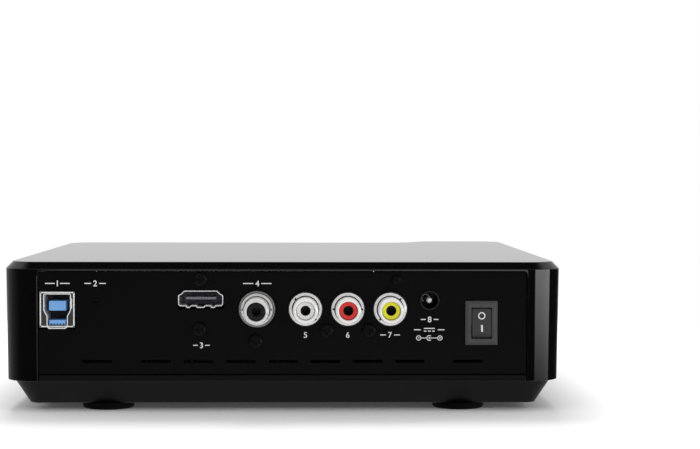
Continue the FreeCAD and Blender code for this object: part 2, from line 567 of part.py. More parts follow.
def rear_panel():
    panel = opening_block(CASE_GAP).common(box(-BIG, BIG, PANEL_BACK, PANEL_FACE, FRAME_BOTTOM, BIG))
    deep, face = PANEL_BACK - 1, PANEL_FACE + 1
    cuts = []
    half_x, half_z = DATA_WIDTH / 2 + CUTOUT_GAP, DATA_HEIGHT / 2 + CUTOUT_GAP
    cuts.append(box(DATA_X - half_x, DATA_X + half_x, deep, face, DATA_Z - half_z, DATA_Z + half_z))
    cuts.append(prism_y(video_outline(CUTOUT_GAP), deep, face))
    cuts.append(rod_y(COAX_X, deep, face, PHONO_Z, COAX_RING + CUTOUT_GAP))
    cuts += [rod_y(x, deep, face, PHONO_Z, AV_RING + CUTOUT_GAP) for x in AV_XS]
    cuts.append(rod_y(DC_X, deep, face, DC_Z, DC_BARREL + CUTOUT_GAP))
    cuts.append(rod_y(RESET_X, deep, face, RESET_Z, RESET_HOLE))
    cuts.append(rod_y(RESET_X, PANEL_FACE - RESET_DIMPLE_DEPTH, face, RESET_Z, RESET_DIMPLE))
    half_x = SWITCH_BODY_WIDTH / 2 + CUTOUT_GAP
    half_z = SWITCH_BODY_HEIGHT / 2 + CUTOUT_GAP
    cuts.append(box(SWITCH_X - half_x, SWITCH_X + half_x, deep, face,
                    SWITCH_Z - half_z, SWITCH_Z + half_z))
    cuts += [rod_y(x, deep, face, z, SHANK_RADIUS + SCREW_CLEARANCE) for x, z in panel_screw_places()]
    for x in VENT_XS:
        cuts.append(round_bar_y(x - VENT_WIDTH / 2, x + VENT_WIDTH / 2, deep, face,
                                VENT_Z - VENT_HEIGHT / 2, VENT_Z + VENT_HEIGHT / 2,
                                VENT_HEIGHT * 0.35))
    return cut_all(panel, cuts)


def front_bezel():
    inner = BEZEL_RECESS + BEZEL_THICK
    wall = plan_ring(BEZEL_RECESS, inner, FRAME_BOTTOM, OPENING_TOP)
    wall = wall.common(opening_block(CASE_GAP)).common(box(-BIG, BIG, -BIG, 0, 0, BIG))
    screw_end = FRONT_BOARD_Y + BOARD_THICK - BOARD_SCREW_LENGTH - CASE_GAP
    pieces = [wall]
    for x, z in FRONT_BOSSES:
        post = rod_y(x, POD_BACK - BEZEL_THICK / 2, FRONT_BOARD_Y, z, FRONT_BOSS_RADIUS)
        pieces.append(post.cut(rod_y(x, screw_end, FRONT_BOARD_Y, z, SHANK_RADIUS + SCREW_CLEARANCE)))
    bezel = fused(pieces)
    fascia = FASCIA_HALF + FASCIA_GAP
    cuts = [box(DRIVE_X - fascia, DRIVE_X + fascia, FRONT_Y - 1, FASCIA_BACK, 0,
                FASCIA_TOP + FASCIA_GAP),
            rod_y(BUTTON_X, POD_Y - 1, POD_BACK + 1, BUTTON_Z, BUTTON_RADIUS + BUTTON_GAP)]
    gap = CASE_GAP / 2
    cuts.append(round_bar_y(WINDOW_X - WINDOW_WIDTH / 2 - gap, WINDOW_X + WINDOW_WIDTH / 2 + gap,
                            POD_Y - 1, POD_BACK + 1, WINDOW_Z - WINDOW_HEIGHT / 2 - gap,
                            WINDOW_Z + WINDOW_HEIGHT / 2 + gap, WINDOW_ROUND))
    return cut_all(bezel, cuts)


def foot(x, y):
    disc = rod_z(x, y, 0, FOOT_HEIGHT, FOOT_RADIUS)
    rim = [edge for edge in disc.Edges if edge.BoundBox.ZMax < TOUCH * 100]
    return disc.makeFillet(FOOT_ROUND, rim)


def status_window():
    x, z, back = WINDOW_X, WINDOW_Z, POD_BACK + WINDOW_FLANGE
    half_x, half_z = WINDOW_WIDTH / 2, WINDOW_HEIGHT / 2
    pane = round_bar_y(x - half_x, x + half_x, POD_FACE, back, z - half_z, z + half_z, WINDOW_ROUND)
    edge = WINDOW_FLANGE
    flange = box(x - half_x - edge, x + half_x + edge, POD_BACK, back,
                 z - half_z - edge, z + half_z + edge)
    return fused([pane, flange])


# ---------------------------------------------------------------- screws
def panel_screw_places():
    return [*VIDEO_SCREWS, COAX_SCREW, *AV_SCREWS, COVER_SCREW]


def cage_screw_places():
    return [(DRIVE_X + side * CAGE_SCREW_HALF_X, CAGE_MID_Y + end * CAGE_SCREW_HALF_Y)
            for side in (-1, 1) for end in (-1, 1)]


def panel_screws():
    large = pan_screw(PANEL_SCREW_LENGTH)
    small = pan_screw(PANEL_SCREW_LENGTH, COVER_SCREW_HEAD)
    screws = []
    for x, z in panel_screw_places():
        screw = small if (x, z) == COVER_SCREW else large
        screws.append(placed(screw, V(x, PANEL_FACE, z), V(0, -1, 0)))
    return group(screws)


def case_screws():
    seat = FOOT_HEIGHT + CASE_SCREW_RECESS
    return group(placed(pan_screw(CASE_SCREW_LENGTH), V(x, y, seat)) for x, y in case_post_places())


def board_screws():
    screw = pan_screw(BOARD_SCREW_LENGTH)
    hung = [placed(screw, V(x, y, BOARD_BOTTOM)) for x, y in BOARD_BOSSES]
    seat = FRONT_BOARD_Y + BOARD_THICK
    return group(hung + [placed(screw, V(x, seat, z), V(0, -1, 0)) for x, z in FRONT_BOSSES])


def cage_screws():
    screws = []
    for x, y in cage_screw_places():
        head = Part.makeCone(SHANK_RADIUS, HEAD_RADIUS, CAGE_WALL, V(x, y, CAGE_BOTTOM))
        half = HEAD_RADIUS * 0.55
        head = cut_all(head, [
            box(x - half, x + half, y - CROSS_WIDTH / 2, y + CROSS_WIDTH / 2,
                SILL_TOP - CROSS_DEPTH / 2, SILL_TOP),
            box(x - CROSS_WIDTH / 2, x + CROSS_WIDTH / 2, y - half, y + half,
                SILL_TOP - CROSS_DEPTH / 2, SILL_TOP)])
        screws.append(fused([head, rod_z(x, y, SILL_TOP - BOARD_SCREW_LENGTH, CAGE_BOTTOM,
                                         SHANK_RADIUS)]))
    return group(screws)


# ---------------------------------------------------------------- square data socket
def data_bore(grow):
    """Outline of the bore, wide above and narrow below since the socket is upside down."""
    lean = math.atan2(DATA_WIDE - DATA_NARROW, DATA_STEP_TOP - DATA_STEP_LOW)
    slip = grow * math.tan(lean / 2)
    right = [(DATA_NARROW + grow, DATA_BORE_LOW - grow), (DATA_NARROW + grow, DATA_STEP_LOW - slip),
             (DATA_WIDE + grow, DATA_STEP_TOP - slip), (DATA_WIDE + grow, DATA_BORE_TOP + grow)]
    points = right + [(-x, z) for x, z in reversed(right)]
    return [(DATA_X + x, DATA_Z + z) for x, z in points]


def data_socket_shell():
    """The folded shell: an outer tube, a plate round the bore and the bore's own liner."""
    half_x, half_z = DATA_WIDTH / 2, DATA_HEIGHT / 2
    front, back = PANEL_FACE + DATA_PROUD, PANEL_FACE - DATA_DEPTH
    outer = box(DATA_X - half_x, DATA_X + half_x, back, front, DATA_Z - half_z, DATA_Z + half_z)
    half_x, half_z = half_x - DATA_METAL, half_z - DATA_METAL
    inner = box(DATA_X - half_x, DATA_X + half_x, back + DATA_METAL, front,
                DATA_Z - half_z, DATA_Z + half_z)
    face = front - DATA_FACE_SET
    plate = box(DATA_X - half_x, DATA_X + half_x, face - DATA_METAL, face,
                DATA_Z - half_z, DATA_Z + half_z)
    floor = front - DATA_BORE_DEPTH
    liner = prism_y(data_bore(DATA_METAL), floor, front)
    pin_back = PANEL_BACK - DATA_PIN_SPACE - DATA_PIN * 2
    pins = [box(DATA_X + side * half_x - DATA_PIN / 2, DATA_X + side * half_x + DATA_PIN / 2,
                pin_back, PANEL_BACK - DATA_PIN_SPACE, DATA_Z + half_z, BOARD_BOTTOM)
            for side in (-1, 1)]
    whole = fused([outer.cut(inner), plate, liner] + pins)
    return whole.cut(prism_y(data_bore(0), floor, REAR_Y + DATA_PROUD))


def data_socket_insert():
    """The plastic block behind the bore, with two tongues that reach out into it."""
    half_x, half_z = DATA_WIDTH / 2 - DATA_METAL, DATA_HEIGHT / 2 - DATA_METAL
    rim = PANEL_FACE + DATA_PROUD
    floor = rim - DATA_BORE_DEPTH
    pieces = [box(DATA_X - half_x, DATA_X + half_x, PANEL_FACE - DATA_DEPTH + DATA_METAL, floor,
                  DATA_Z - half_z, DATA_Z + half_z)]
    for half, low, high, inside in (DATA_TONGUE, DATA_LEDGE):
        pieces.append(box(DATA_X - half, DATA_X + half, floor - DATA_METAL, rim - inside,
                          DATA_Z + low, DATA_Z + high))
    return fused(pieces)


# ---------------------------------------------------------------- flat video socket
def video_outline(grow):
    """Outline of the flat socket, with its cut corners at the top, grown outwards."""
    half_x, half_z = VIDEO_WIDTH / 2 + grow, VIDEO_HEIGHT / 2 + grow
    right = [(half_x, -half_z + VIDEO_CORNER_LOW), (half_x, half_z - VIDEO_CORNER_Z),
             (half_x - VIDEO_CORNER_X, half_z)]
    points = [(half_x - VIDEO_CORNER_LOW, -half_z)] + right
    points += [(-x, z) for x, z in reversed(points)]
    return [(VIDEO_X + x, VIDEO_Z + z) for x, z in points]


def video_socket_shell():
    front, back = PANEL_FACE + VIDEO_PROUD, PANEL_FACE - VIDEO_DEPTH
    tube = prism_y(video_outline(0), back, front)
    tube = tube.cut(prism_y(video_outline(-VIDEO_METAL), back + VIDEO_METAL, front))
    ears = []
    for x, z in VIDEO_SCREWS:
        reach = VIDEO_HEIGHT / 2 - VIDEO_METAL / 2
        near = VIDEO_Z + reach if z > VIDEO_Z else VIDEO_Z - reach
        far = z + EAR_HALF - 1 if z > VIDEO_Z else z - EAR_HALF + 1
        ear = box(x - VIDEO_FLANGE_WIDTH / 2, x + VIDEO_FLANGE_WIDTH / 2,
                  PANEL_BACK - VIDEO_FLANGE, PANEL_BACK, min(near, far), max(near, far))
        ears.append(ear.cut(rod_y(x, PANEL_BACK - VIDEO_FLANGE, PANEL_BACK, z,
                                  SHANK_RADIUS + SCREW_CLEARANCE)))
    return fused([tube] + ears)


def video_socket_insert():
    back = PANEL_FACE - VIDEO_DEPTH + VIDEO_METAL
    block = prism_y(video_outline(-VIDEO_METAL), back, back + VIDEO_INSERT_THICK)
    half, middle = VIDEO_TONGUE_WIDTH / 2, VIDEO_Z + VIDEO_TONGUE_RISE
    tongue = box(VIDEO_X - half, VIDEO_X + half, back + VIDEO_METAL, PANEL_FACE - VIDEO_TONGUE_SET,
                 middle - VIDEO_TONGUE_THICK / 2, middle + VIDEO_TONGUE_THICK / 2)
    return fused([block, tongue])


# ---------------------------------------------------------------- phono sockets
def screw_ear(x, z):
    """An ear below a socket's body, behind the panel, with its screw hole."""
    ear = box(x - EAR_HALF, x + EAR_HALF, PANEL_BACK - EAR_THICK, PANEL_BACK,
              z - EAR_HALF + 1, PHONO_Z - PHONO_SLEEVE)
    return ear.cut(rod_y(x, PANEL_BACK - EAR_THICK, PANEL_BACK, z, SHANK_RADIUS + SCREW_CLEARANCE))


def phono_body(xs, ring, screws, proud):
    """A plastic block below the board, with a round ring through the panel for each socket."""
    back = PANEL_BACK - PHONO_BODY_DEPTH
    block = box(min(xs) - ring, max(xs) + ring, back, PANEL_BACK, PHONO_Z - ring, BOARD_BOTTOM)
    pieces = [block] + [rod_y(x, PANEL_BACK - 1, PANEL_FACE + proud, PHONO_Z, ring) for x in xs]
    body = fused(pieces + [screw_ear(x, z) for x, z in screws])
    flush = box(-BIG, BIG, BOARD_REAR_Y, BIG, BOARD_BOTTOM, BIG)
    bores = [rod_y(x, back + 1, REAR_Y, PHONO_Z, PHONO_SLEEVE) for x in xs]
    shanks = [rod_y(x, back, REAR_Y, z, SHANK_RADIUS + SCREW_CLEARANCE) for x, z in screws]
    return cut_all(body, bores + shanks + [flush])


def phono_sleeve(x, proud, reach, collar=None):
    """The plated outer contact: a tube with a flange that lies on the plastic ring."""
    back = PANEL_BACK - PHONO_BODY_DEPTH + 1
    tip = REAR_Y + reach
    seat = PANEL_FACE + proud
    tube = rod_y(x, back, tip, PHONO_Z, PHONO_SLEEVE)
    edge = [e for e in tube.Edges if e.BoundBox.YMin > tip - TOUCH * 100]
    tube = tube.makeFillet(PHONO_TIP_ROUND, edge)
    parts = [tube, rod_y(x, seat, seat + PHONO_FLANGE_THICK, PHONO_Z, PHONO_FLANGE)]
    if collar:
        parts.append(rod_y(x, seat, seat + COAX_COLLAR_PROUD, PHONO_Z, collar))
    return fused(parts).cut(rod_y(x, back, tip, PHONO_Z, PHONO_BORE))


def phono_insulator(x, reach, set_back):
    back = PANEL_BACK - PHONO_BODY_DEPTH + 1
    front = REAR_Y + reach - set_back
    core = rod_y(x, back, front, PHONO_Z, PHONO_BORE)
    return core.cut(rod_y(x, PANEL_BACK, front, PHONO_Z, PHONO_PIN_HOLE))


# ---------------------------------------------------------------- power inlet, switch and reset
def dc_jack_body():
    back = PANEL_BACK - DC_DEPTH
    half = DC_BODY_HALF
    block = box(DC_X - half, DC_X + half, back, PANEL_BACK, DC_BODY_BOTTOM, BOARD_BOTTOM)
    barrel = rod_y(DC_X, PANEL_BACK - 1, PANEL_FACE, DC_Z, DC_BARREL)
    return fused([block, barrel]).cut(rod_y(DC_X, PANEL_FACE - DC_BORE_DEPTH, REAR_Y, DC_Z, DC_BORE))


def dc_jack_pin():
    tip = PANEL_FACE - DC_PIN_SET
    pin = rod_y(DC_X, PANEL_FACE - DC_BORE_DEPTH, tip, DC_Z, DC_PIN)
    edge = [e for e in pin.Edges if e.BoundBox.YMin > tip - TOUCH * 100]
    return pin.makeFillet(DC_PIN * 0.6, edge)


def switch_frame():
    x, z = SWITCH_X, SWITCH_Z
    half_x, half_z = SWITCH_WIDTH / 2, SWITCH_HEIGHT / 2
    bezel = box(x - half_x, x + half_x, PANEL_FACE, SWITCH_FACE, z - half_z, z + half_z)
    rim = [e for e in bezel.Edges if e.BoundBox.YMin > SWITCH_FACE - TOUCH * 100]
    bezel = bezel.makeChamfer(SWITCH_MITRE, rim)
    half_x, half_z = SWITCH_BODY_WIDTH / 2, SWITCH_BODY_HEIGHT / 2
    body = box(x - half_x, x + half_x, PANEL_FACE - SWITCH_BODY_DEPTH, PANEL_FACE + 0.5,
               z - half_z, z + half_z)
    half_x, half_z = SWITCH_OPEN_WIDTH / 2, SWITCH_OPEN_HEIGHT / 2
    mouth = box(x - half_x, x + half_x, SWITCH_FACE - SWITCH_LIP - 1, SWITCH_FACE + 1,
                z - half_z, z + half_z)
    cavity = box(x - half_x, x + half_x, SWITCH_FACE - SWITCH_CAVITY_DEPTH,
                 SWITCH_FACE - SWITCH_LIP, z - SWITCH_CAVITY_HEIGHT / 2, z + SWITCH_CAVITY_HEIGHT / 2)
    reach = ROCKER_WIDTH / 2 + ROCKER_PIN_LENGTH + RUNNING_CLEARANCE * 2
    pivot = rod_x(x - reach, x + reach, ROCKER_Y, z, ROCKER_PIN + RUNNING_CLEARANCE)
    return cut_all(fused([bezel, body]), [mouth, cavity, pivot])


def rocker():
    """The rocker at off: its upper half lies flat and its lower half stands proud."""
    depth, radius = ROCKER_PIVOT_DEPTH, ROCKER_RADIUS
    swing = math.radians(ROCKER_SWING)
    across = math.sqrt(radius ** 2 - depth ** 2)
    apex = depth * math.tan(swing / 2)
    low_y = depth * math.cos(swing) + across * math.sin(swing)
    low_z = depth * math.sin(swing) - across * math.cos(swing)
    far = radius * 2
    tail = -ROCKER_TAIL
    fan = prism_x([(ROCKER_Y + y, SWITCH_Z + z) for y, z in (
        (depth, far), (depth, apex), (low_y, low_z),
        (low_y + (low_y - depth) * 0.5, low_z - across * 0.5), (tail, -far), (tail, far))],
        SWITCH_X - ROCKER_WIDTH / 2, SWITCH_X + ROCKER_WIDTH / 2)
    drum = rod_x(SWITCH_X - ROCKER_WIDTH / 2, SWITCH_X + ROCKER_WIDTH / 2, ROCKER_Y, SWITCH_Z, radius)
    pin_half = ROCKER_WIDTH / 2 + ROCKER_PIN_LENGTH
    pin = rod_x(SWITCH_X - pin_half, SWITCH_X + pin_half, ROCKER_Y, SWITCH_Z, ROCKER_PIN)
    return fused([fan.common(drum), pin])


def switch_terminals():
    """Two blades that run from the switch's rear up to the board."""
    rear = PANEL_FACE - SWITCH_BODY_DEPTH
    low = SWITCH_Z
    path = [(rear, low), (rear - TERMINAL_WIDTH, low), (rear - TERMINAL_WIDTH, BOARD_BOTTOM),
            (rear - TERMINAL_WIDTH / 2, BOARD_BOTTOM),
            (rear - TERMINAL_WIDTH / 2, low + TERMINAL_WIDTH), (rear, low + TERMINAL_WIDTH)]
    blades = []
    for side in (-1, 1):
        x = SWITCH_X + side * TERMINAL_SPACING / 2
        blades.append(prism_x(path, x - TERMINAL_THICK / 2, x + TERMINAL_THICK / 2))
    return group(blades)


def reset_switch_body():
    front = PANEL_BACK - RESET_GAP - RESET_PLUNGER_LENGTH / 2
    body = box(RESET_X - RESET_HALF, RESET_X + RESET_HALF, front - RESET_DEPTH, front,
               RESET_BOTTOM, BOARD_BOTTOM)
    depth = RESET_PLUNGER_LENGTH / 2 + RESET_TRAVEL + CUTOUT_GAP
    return body.cut(rod_y(RESET_X, front - depth, front, RESET_Z, RESET_PLUNGER + RUNNING_CLEARANCE))


def reset_plunger():
    front = PANEL_BACK - RESET_GAP
    return rod_y(RESET_X, front - RESET_PLUNGER_LENGTH, front, RESET_Z, RESET_PLUNGER)


# ---------------------------------------------------------------- main board and what it carries
def main_board():
    column = box(BOARD_LEFT_X, BOARD_COLUMN_X, BOARD_FRONT_Y, BOARD_REAR_Y, BOARD_BOTTOM, BOARD_TOP)
    rear = box(BOARD_LEFT_X, BOARD_RIGHT_X, BOARD_STRIP_Y, BOARD_REAR_Y, BOARD_BOTTOM, BOARD_TOP)
    holes = [rod_z(x, y, BOARD_BOTTOM, BOARD_TOP, SHANK_RADIUS + SCREW_CLEARANCE)
             for x, y in BOARD_BOSSES]
    return cut_all(fused([column, rear]), holes)


def processor():
    half = PROCESSOR_SIZE / 2
    return box(PROCESSOR_X - half, PROCESSOR_X + half, PROCESSOR_Y - half, PROCESSOR_Y + half,
               BOARD_BOTTOM - PROCESSOR_THICK, BOARD_BOTTOM)


def heat_sink():
    top = BOARD_BOTTOM - PROCESSOR_THICK
    half = SINK_SIZE / 2
    pieces = [box(PROCESSOR_X - half, PROCESSOR_X + half, PROCESSOR_Y - half, PROCESSOR_Y + half,
                  top - SINK_BASE, top)]
    pitch = (SINK_SIZE - SINK_FIN_THICK) / (SINK_FINS - 1)
    for number in range(SINK_FINS):
        x = PROCESSOR_X - half + number * pitch
        pieces.append(box(x, x + SINK_FIN_THICK, PROCESSOR_Y - half, PROCESSOR_Y + half,
                          top - SINK_BASE - SINK_FIN_HEIGHT, top - SINK_BASE))
    return fused(pieces)


def memory_chips():
    half_x, half_y = MEMORY_WIDTH / 2, MEMORY_LENGTH / 2
    return group(box(x - half_x, x + half_x, y - half_y, y + half_y,
                     BOARD_BOTTOM - MEMORY_THICK, BOARD_BOTTOM)
                 for x in MEMORY_XS for y in MEMORY_YS)


def capacitors():
    cans = []
    for x, y in CAPACITORS:
        low = BOARD_BOTTOM - CAPACITOR_HEIGHT
        can = rod_z(x, y, low, BOARD_BOTTOM, CAPACITOR_RADIUS)
        edge = [e for e in can.Edges if e.BoundBox.ZMax < low + TOUCH * 100]
        cans.append(can.makeFillet(CAPACITOR_RADIUS * 0.15, edge))
    return group(cans)


# ---------------------------------------------------------------- front board and power button
def front_board():
    back = FRONT_BOARD_Y + BOARD_THICK
    board = box(FRONT_BOARD_LEFT, FRONT_BOARD_RIGHT, FRONT_BOARD_Y, back,
                FRONT_BOARD_BOTTOM, FRONT_BOARD_TOP)
    return cut_all(board, [rod_y(x, FRONT_BOARD_Y, back, z, SHANK_RADIUS + SCREW_CLEARANCE)
                           for x, z in FRONT_BOSSES])


def power_tact_switch():
    x, z = BUTTON_X, BUTTON_Z
    body = box(x - TACT_HALF, x + TACT_HALF, FRONT_BOARD_Y - TACT_THICK, FRONT_BOARD_Y,
               z - TACT_HALF, z + TACT_HALF)
    nub = rod_y(x, FRONT_BOARD_Y - TACT_THICK - TACT_NUB / 2, FRONT_BOARD_Y - 1, z, TACT_NUB)
    return fused([body, nub])


def power_button():
    x, z = BUTTON_X, BUTTON_Z
    front = POD_FACE - BUTTON_PROUD
    flange = POD_BACK + BUTTON_GAP
    cap = rod_y(x, front, flange + BUTTON_FLANGE_THICK, z, BUTTON_RADIUS)
    rim = [e for e in cap.Edges if e.BoundBox.YMax < front + TOUCH * 100]
    cap = cap.makeFillet(BUTTON_PROUD, rim)
    nub_face = FRONT_BOARD_Y - TACT_THICK - TACT_NUB / 2
    stem = rod_y(x, flange, nub_face - BUTTON_TRAVEL - CUTOUT_GAP / 2, z, BUTTON_STEM)
    return fused([cap, rod_y(x, flange, flange + BUTTON_FLANGE_THICK, z, BUTTON_FLANGE), stem])


def status_leds():
    leds = []
    for x in LED_XS:
        can = rod_y(x, FRONT_BOARD_Y - LED_LENGTH, FRONT_BOARD_Y, WINDOW_Z, LED_RADIUS)
        edge = [e for e in can.Edges if e.BoundBox.YMax < FRONT_BOARD_Y - LED_LENGTH + TOUCH * 100]
        leds.append(can.makeFillet(LED_RADIUS * 0.8, edge))
    return group(leds)


def infrared_receiver():
    half = RECEIVER_SIZE / 2
    body = box(RECEIVER_X - half, RECEIVER_X + half, FRONT_BOARD_Y - RECEIVER_DEPTH / 2,
               FRONT_BOARD_Y, WINDOW_Z - half, WINDOW_Z + half)
    lens = Part.makeSphere(RECEIVER_DEPTH / 2, V(RECEIVER_X, FRONT_BOARD_Y - RECEIVER_DEPTH / 2,
                                                 WINDOW_Z))
    return fused([body, lens.common(box(-BIG, BIG, -BIG, FRONT_BOARD_Y - 1, -BIG, BIG))])


def front_ribbon():
    """A flat cable from the front board's rear, over its top, onto the main board."""
    y = FRONT_BOARD_Y + BOARD_THICK + RIBBON_THICK / 2
    high = BOARD_TOP + FRONT_RIBBON_RISE
    low = BOARD_TOP + RIBBON_THICK / 2
    path = [(y, FRONT_RIBBON_START), (y, high), (BOARD_FRONT_Y - 3, high), (BOARD_FRONT_Y + 1, low),
            (BOARD_FRONT_Y + 1 + FRONT_RIBBON_LAP, low)]
    return strip(path, RIBBON_THICK, BOARD_LEFT_X, BOARD_LEFT_X + FRONT_RIBBON_WIDTH)


# ---------------------------------------------------------------- drive bay
def drive_cage():
    floor = box(CAGE_LEFT_X, DRIVE_X + CAGE_OUTER, CAGE_FRONT_Y, CAGE_REAR_Y, CAGE_BOTTOM, SILL_TOP)
    pieces = [floor]
    for side in (-1, 1):
        inside, outside = DRIVE_X + side * CAGE_INNER, DRIVE_X + side * CAGE_OUTER
        lip = DRIVE_X + side * (CAGE_INNER - CAGE_LIP)
        pieces.append(box(min(inside, outside), max(inside, outside), CAGE_FRONT_Y, CAGE_REAR_Y,
                          CAGE_BOTTOM, CAGE_TOP + CAGE_WALL))
        pieces.append(box(min(lip, outside), max(lip, outside), CAGE_FRONT_Y, CAGE_REAR_Y,
                          CAGE_TOP, CAGE_TOP + CAGE_WALL))
    sinks = [Part.makeCone(SHANK_RADIUS + SCREW_CLEARANCE, HEAD_RADIUS + SCREW_CLEARANCE,
                           CAGE_WALL, V(x, y, CAGE_BOTTOM)) for x, y in cage_screw_places()]
    return cut_all(fused(pieces), sinks)


def rib_places():
    reach = BACKPLANE_HALF - RIB_INSET
    return [DRIVE_X - reach, DRIVE_X + reach]


def backplane_board():
    return box(DRIVE_X - BACKPLANE_HALF, DRIVE_X + BACKPLANE_HALF, BACKPLANE_Y,
               BACKPLANE_Y + BACKPLANE_THICK, FRAME_BOTTOM, BACKPLANE_TOP)


def tongue_spans(grow):
    """X spans of the plug's power and signal tongues, grown on both sides."""
    whole = POWER_TONGUE + TONGUE_SPACE + SIGNAL_TONGUE
    left = PLUG_X - whole / 2
    return [(left - grow, left + POWER_TONGUE + grow),
            (left + whole - SIGNAL_TONGUE - grow, left + whole + grow)]


def drive_socket():
    """The socket on the upright board, which the drive's plug slides into."""
    half = PLUG_WIDTH / 2 - SOCKET_GAP
    front = NOTCH_Y + PLUG_BACK + SOCKET_GAP
    block = box(PLUG_X - half, PLUG_X + half, front, BACKPLANE_Y, DRIVE_BOTTOM + SOCKET_GAP * 2,
                DRIVE_BOTTOM + PLUG_HEIGHT)
    z = DRIVE_BOTTOM + TONGUE_Z
    slots = [box(x0, x1, front, DRIVE_REAR_Y + CASE_GAP, z - TONGUE_THICK / 2 - CASE_GAP,
                 z + TONGUE_THICK / 2 + CASE_GAP) for x0, x1 in tongue_spans(CASE_GAP)]
    return cut_all(block, slots)


def drive_ribbon():
    """A flat cable from the upright board up to the main board."""
    y = BACKPLANE_Y + BACKPLANE_THICK
    return box(DRIVE_RIBBON_LEFT, DRIVE_RIBBON_LEFT + DRIVE_RIBBON_WIDTH, y, y + RIBBON_THICK,
               FRAME_BOTTOM + CASE_GAP * 2, BOARD_BOTTOM)


# ---------------------------------------------------------------- hard drive
def drive_side_screw_ys():
    return [DRIVE_REAR_Y - back for back in DRIVE_SCREW_REARS]


def drive_casting():
    lid_z = DRIVE_TOP - LID_THICK
    block = box(DRIVE_X - DRIVE_HALF, DRIVE_X + DRIVE_HALF, DRIVE_FRONT_Y, DRIVE_REAR_Y,
                DRIVE_BOTTOM, lid_z)
    block = block.makeFillet(DRIVE_CORNER, edges_along(block, V(0, 0, 1)))
    half = DRIVE_HALF - DRIVE_BOARD_INSET
    gap = CASE_GAP
    recess = box(DRIVE_X - half - gap, DRIVE_X + half + gap, NOTCH_Y - DRIVE_BOARD_LENGTH - gap,
                 NOTCH_Y + 1, 0, DRIVE_BOTTOM + DRIVE_BOARD_SET + DRIVE_BOARD_THICK)
    notch = box(PLUG_X - PLUG_WIDTH / 2 - NOTCH_GAP, PLUG_X + PLUG_WIDTH / 2 + NOTCH_GAP,
                NOTCH_Y, BIG, 0, DRIVE_BOTTOM + PLUG_HEIGHT + NOTCH_GAP)
    cuts = [recess, notch]
    depth = DRIVE_SCREW_LENGTH
    for y in drive_side_screw_ys():
        for side in (-1, 1):
            wall = DRIVE_X + side * DRIVE_HALF
            deep = wall - side * depth
            cuts.append(rod_x(min(wall, deep), max(wall, deep), y, DRIVE_BOTTOM + DRIVE_SCREW_Z,
                              DRIVE_SCREW_RADIUS + SCREW_CLEARANCE))
    return cut_all(block, cuts)


def drive_lid():
    half = DRIVE_HALF - LID_INSET
    plate = box(DRIVE_X - half, DRIVE_X + half, DRIVE_FRONT_Y + LID_INSET, DRIVE_REAR_Y - LID_INSET,
                DRIVE_TOP - LID_THICK, DRIVE_TOP - LID_THICK / 2)
    plate = plate.makeFillet(DRIVE_CORNER, edges_along(plate, V(0, 0, 1)))
    dome = rod_z(DRIVE_X, DRIVE_REAR_Y - DRIVE_HALF - LID_INSET * 2, DRIVE_TOP - LID_THICK,
                 DRIVE_TOP, DRIVE_HALF - LID_INSET * 3)
    return fused([plate, dome])


def drive_board():
    half = DRIVE_HALF - DRIVE_BOARD_INSET
    low = DRIVE_BOTTOM + DRIVE_BOARD_SET
    return box(DRIVE_X - half, DRIVE_X + half, NOTCH_Y - DRIVE_BOARD_LENGTH, NOTCH_Y,
               low, low + DRIVE_BOARD_THICK)


def drive_plug():
    half = PLUG_WIDTH / 2
    back = box(PLUG_X - half, PLUG_X + half, NOTCH_Y, NOTCH_Y + PLUG_BACK,
               DRIVE_BOTTOM + DRIVE_BOARD_SET, DRIVE_BOTTOM + PLUG_HEIGHT)
    z = DRIVE_BOTTOM + TONGUE_Z
    tongues = [box(x0, x1, NOTCH_Y, DRIVE_REAR_Y - TONGUE_SET, z - TONGUE_THICK / 2,
                   z + TONGUE_THICK / 2) for x0, x1 in tongue_spans(0)]
    return fused([back] + tongues)


def drive_screws():
    screws = []
    for y in drive_side_screw_ys():
        for side in (-1, 1):
            seat = DRIVE_X + side * (TRAY_OUTER - DRIVE_HEAD_HEIGHT)
            head = DRIVE_X + side * TRAY_OUTER
            tip = DRIVE_X + side * (DRIVE_HALF - DRIVE_SCREW_LENGTH + CASE_GAP)
            z = DRIVE_BOTTOM + DRIVE_SCREW_Z
            screws.append(fused([
                rod_x(min(seat, head), max(seat, head), y, z, DRIVE_HEAD_RADIUS),
                rod_x(min(seat, tip), max(seat, tip), y, z, DRIVE_SCREW_RADIUS)]))
    return group(screws)


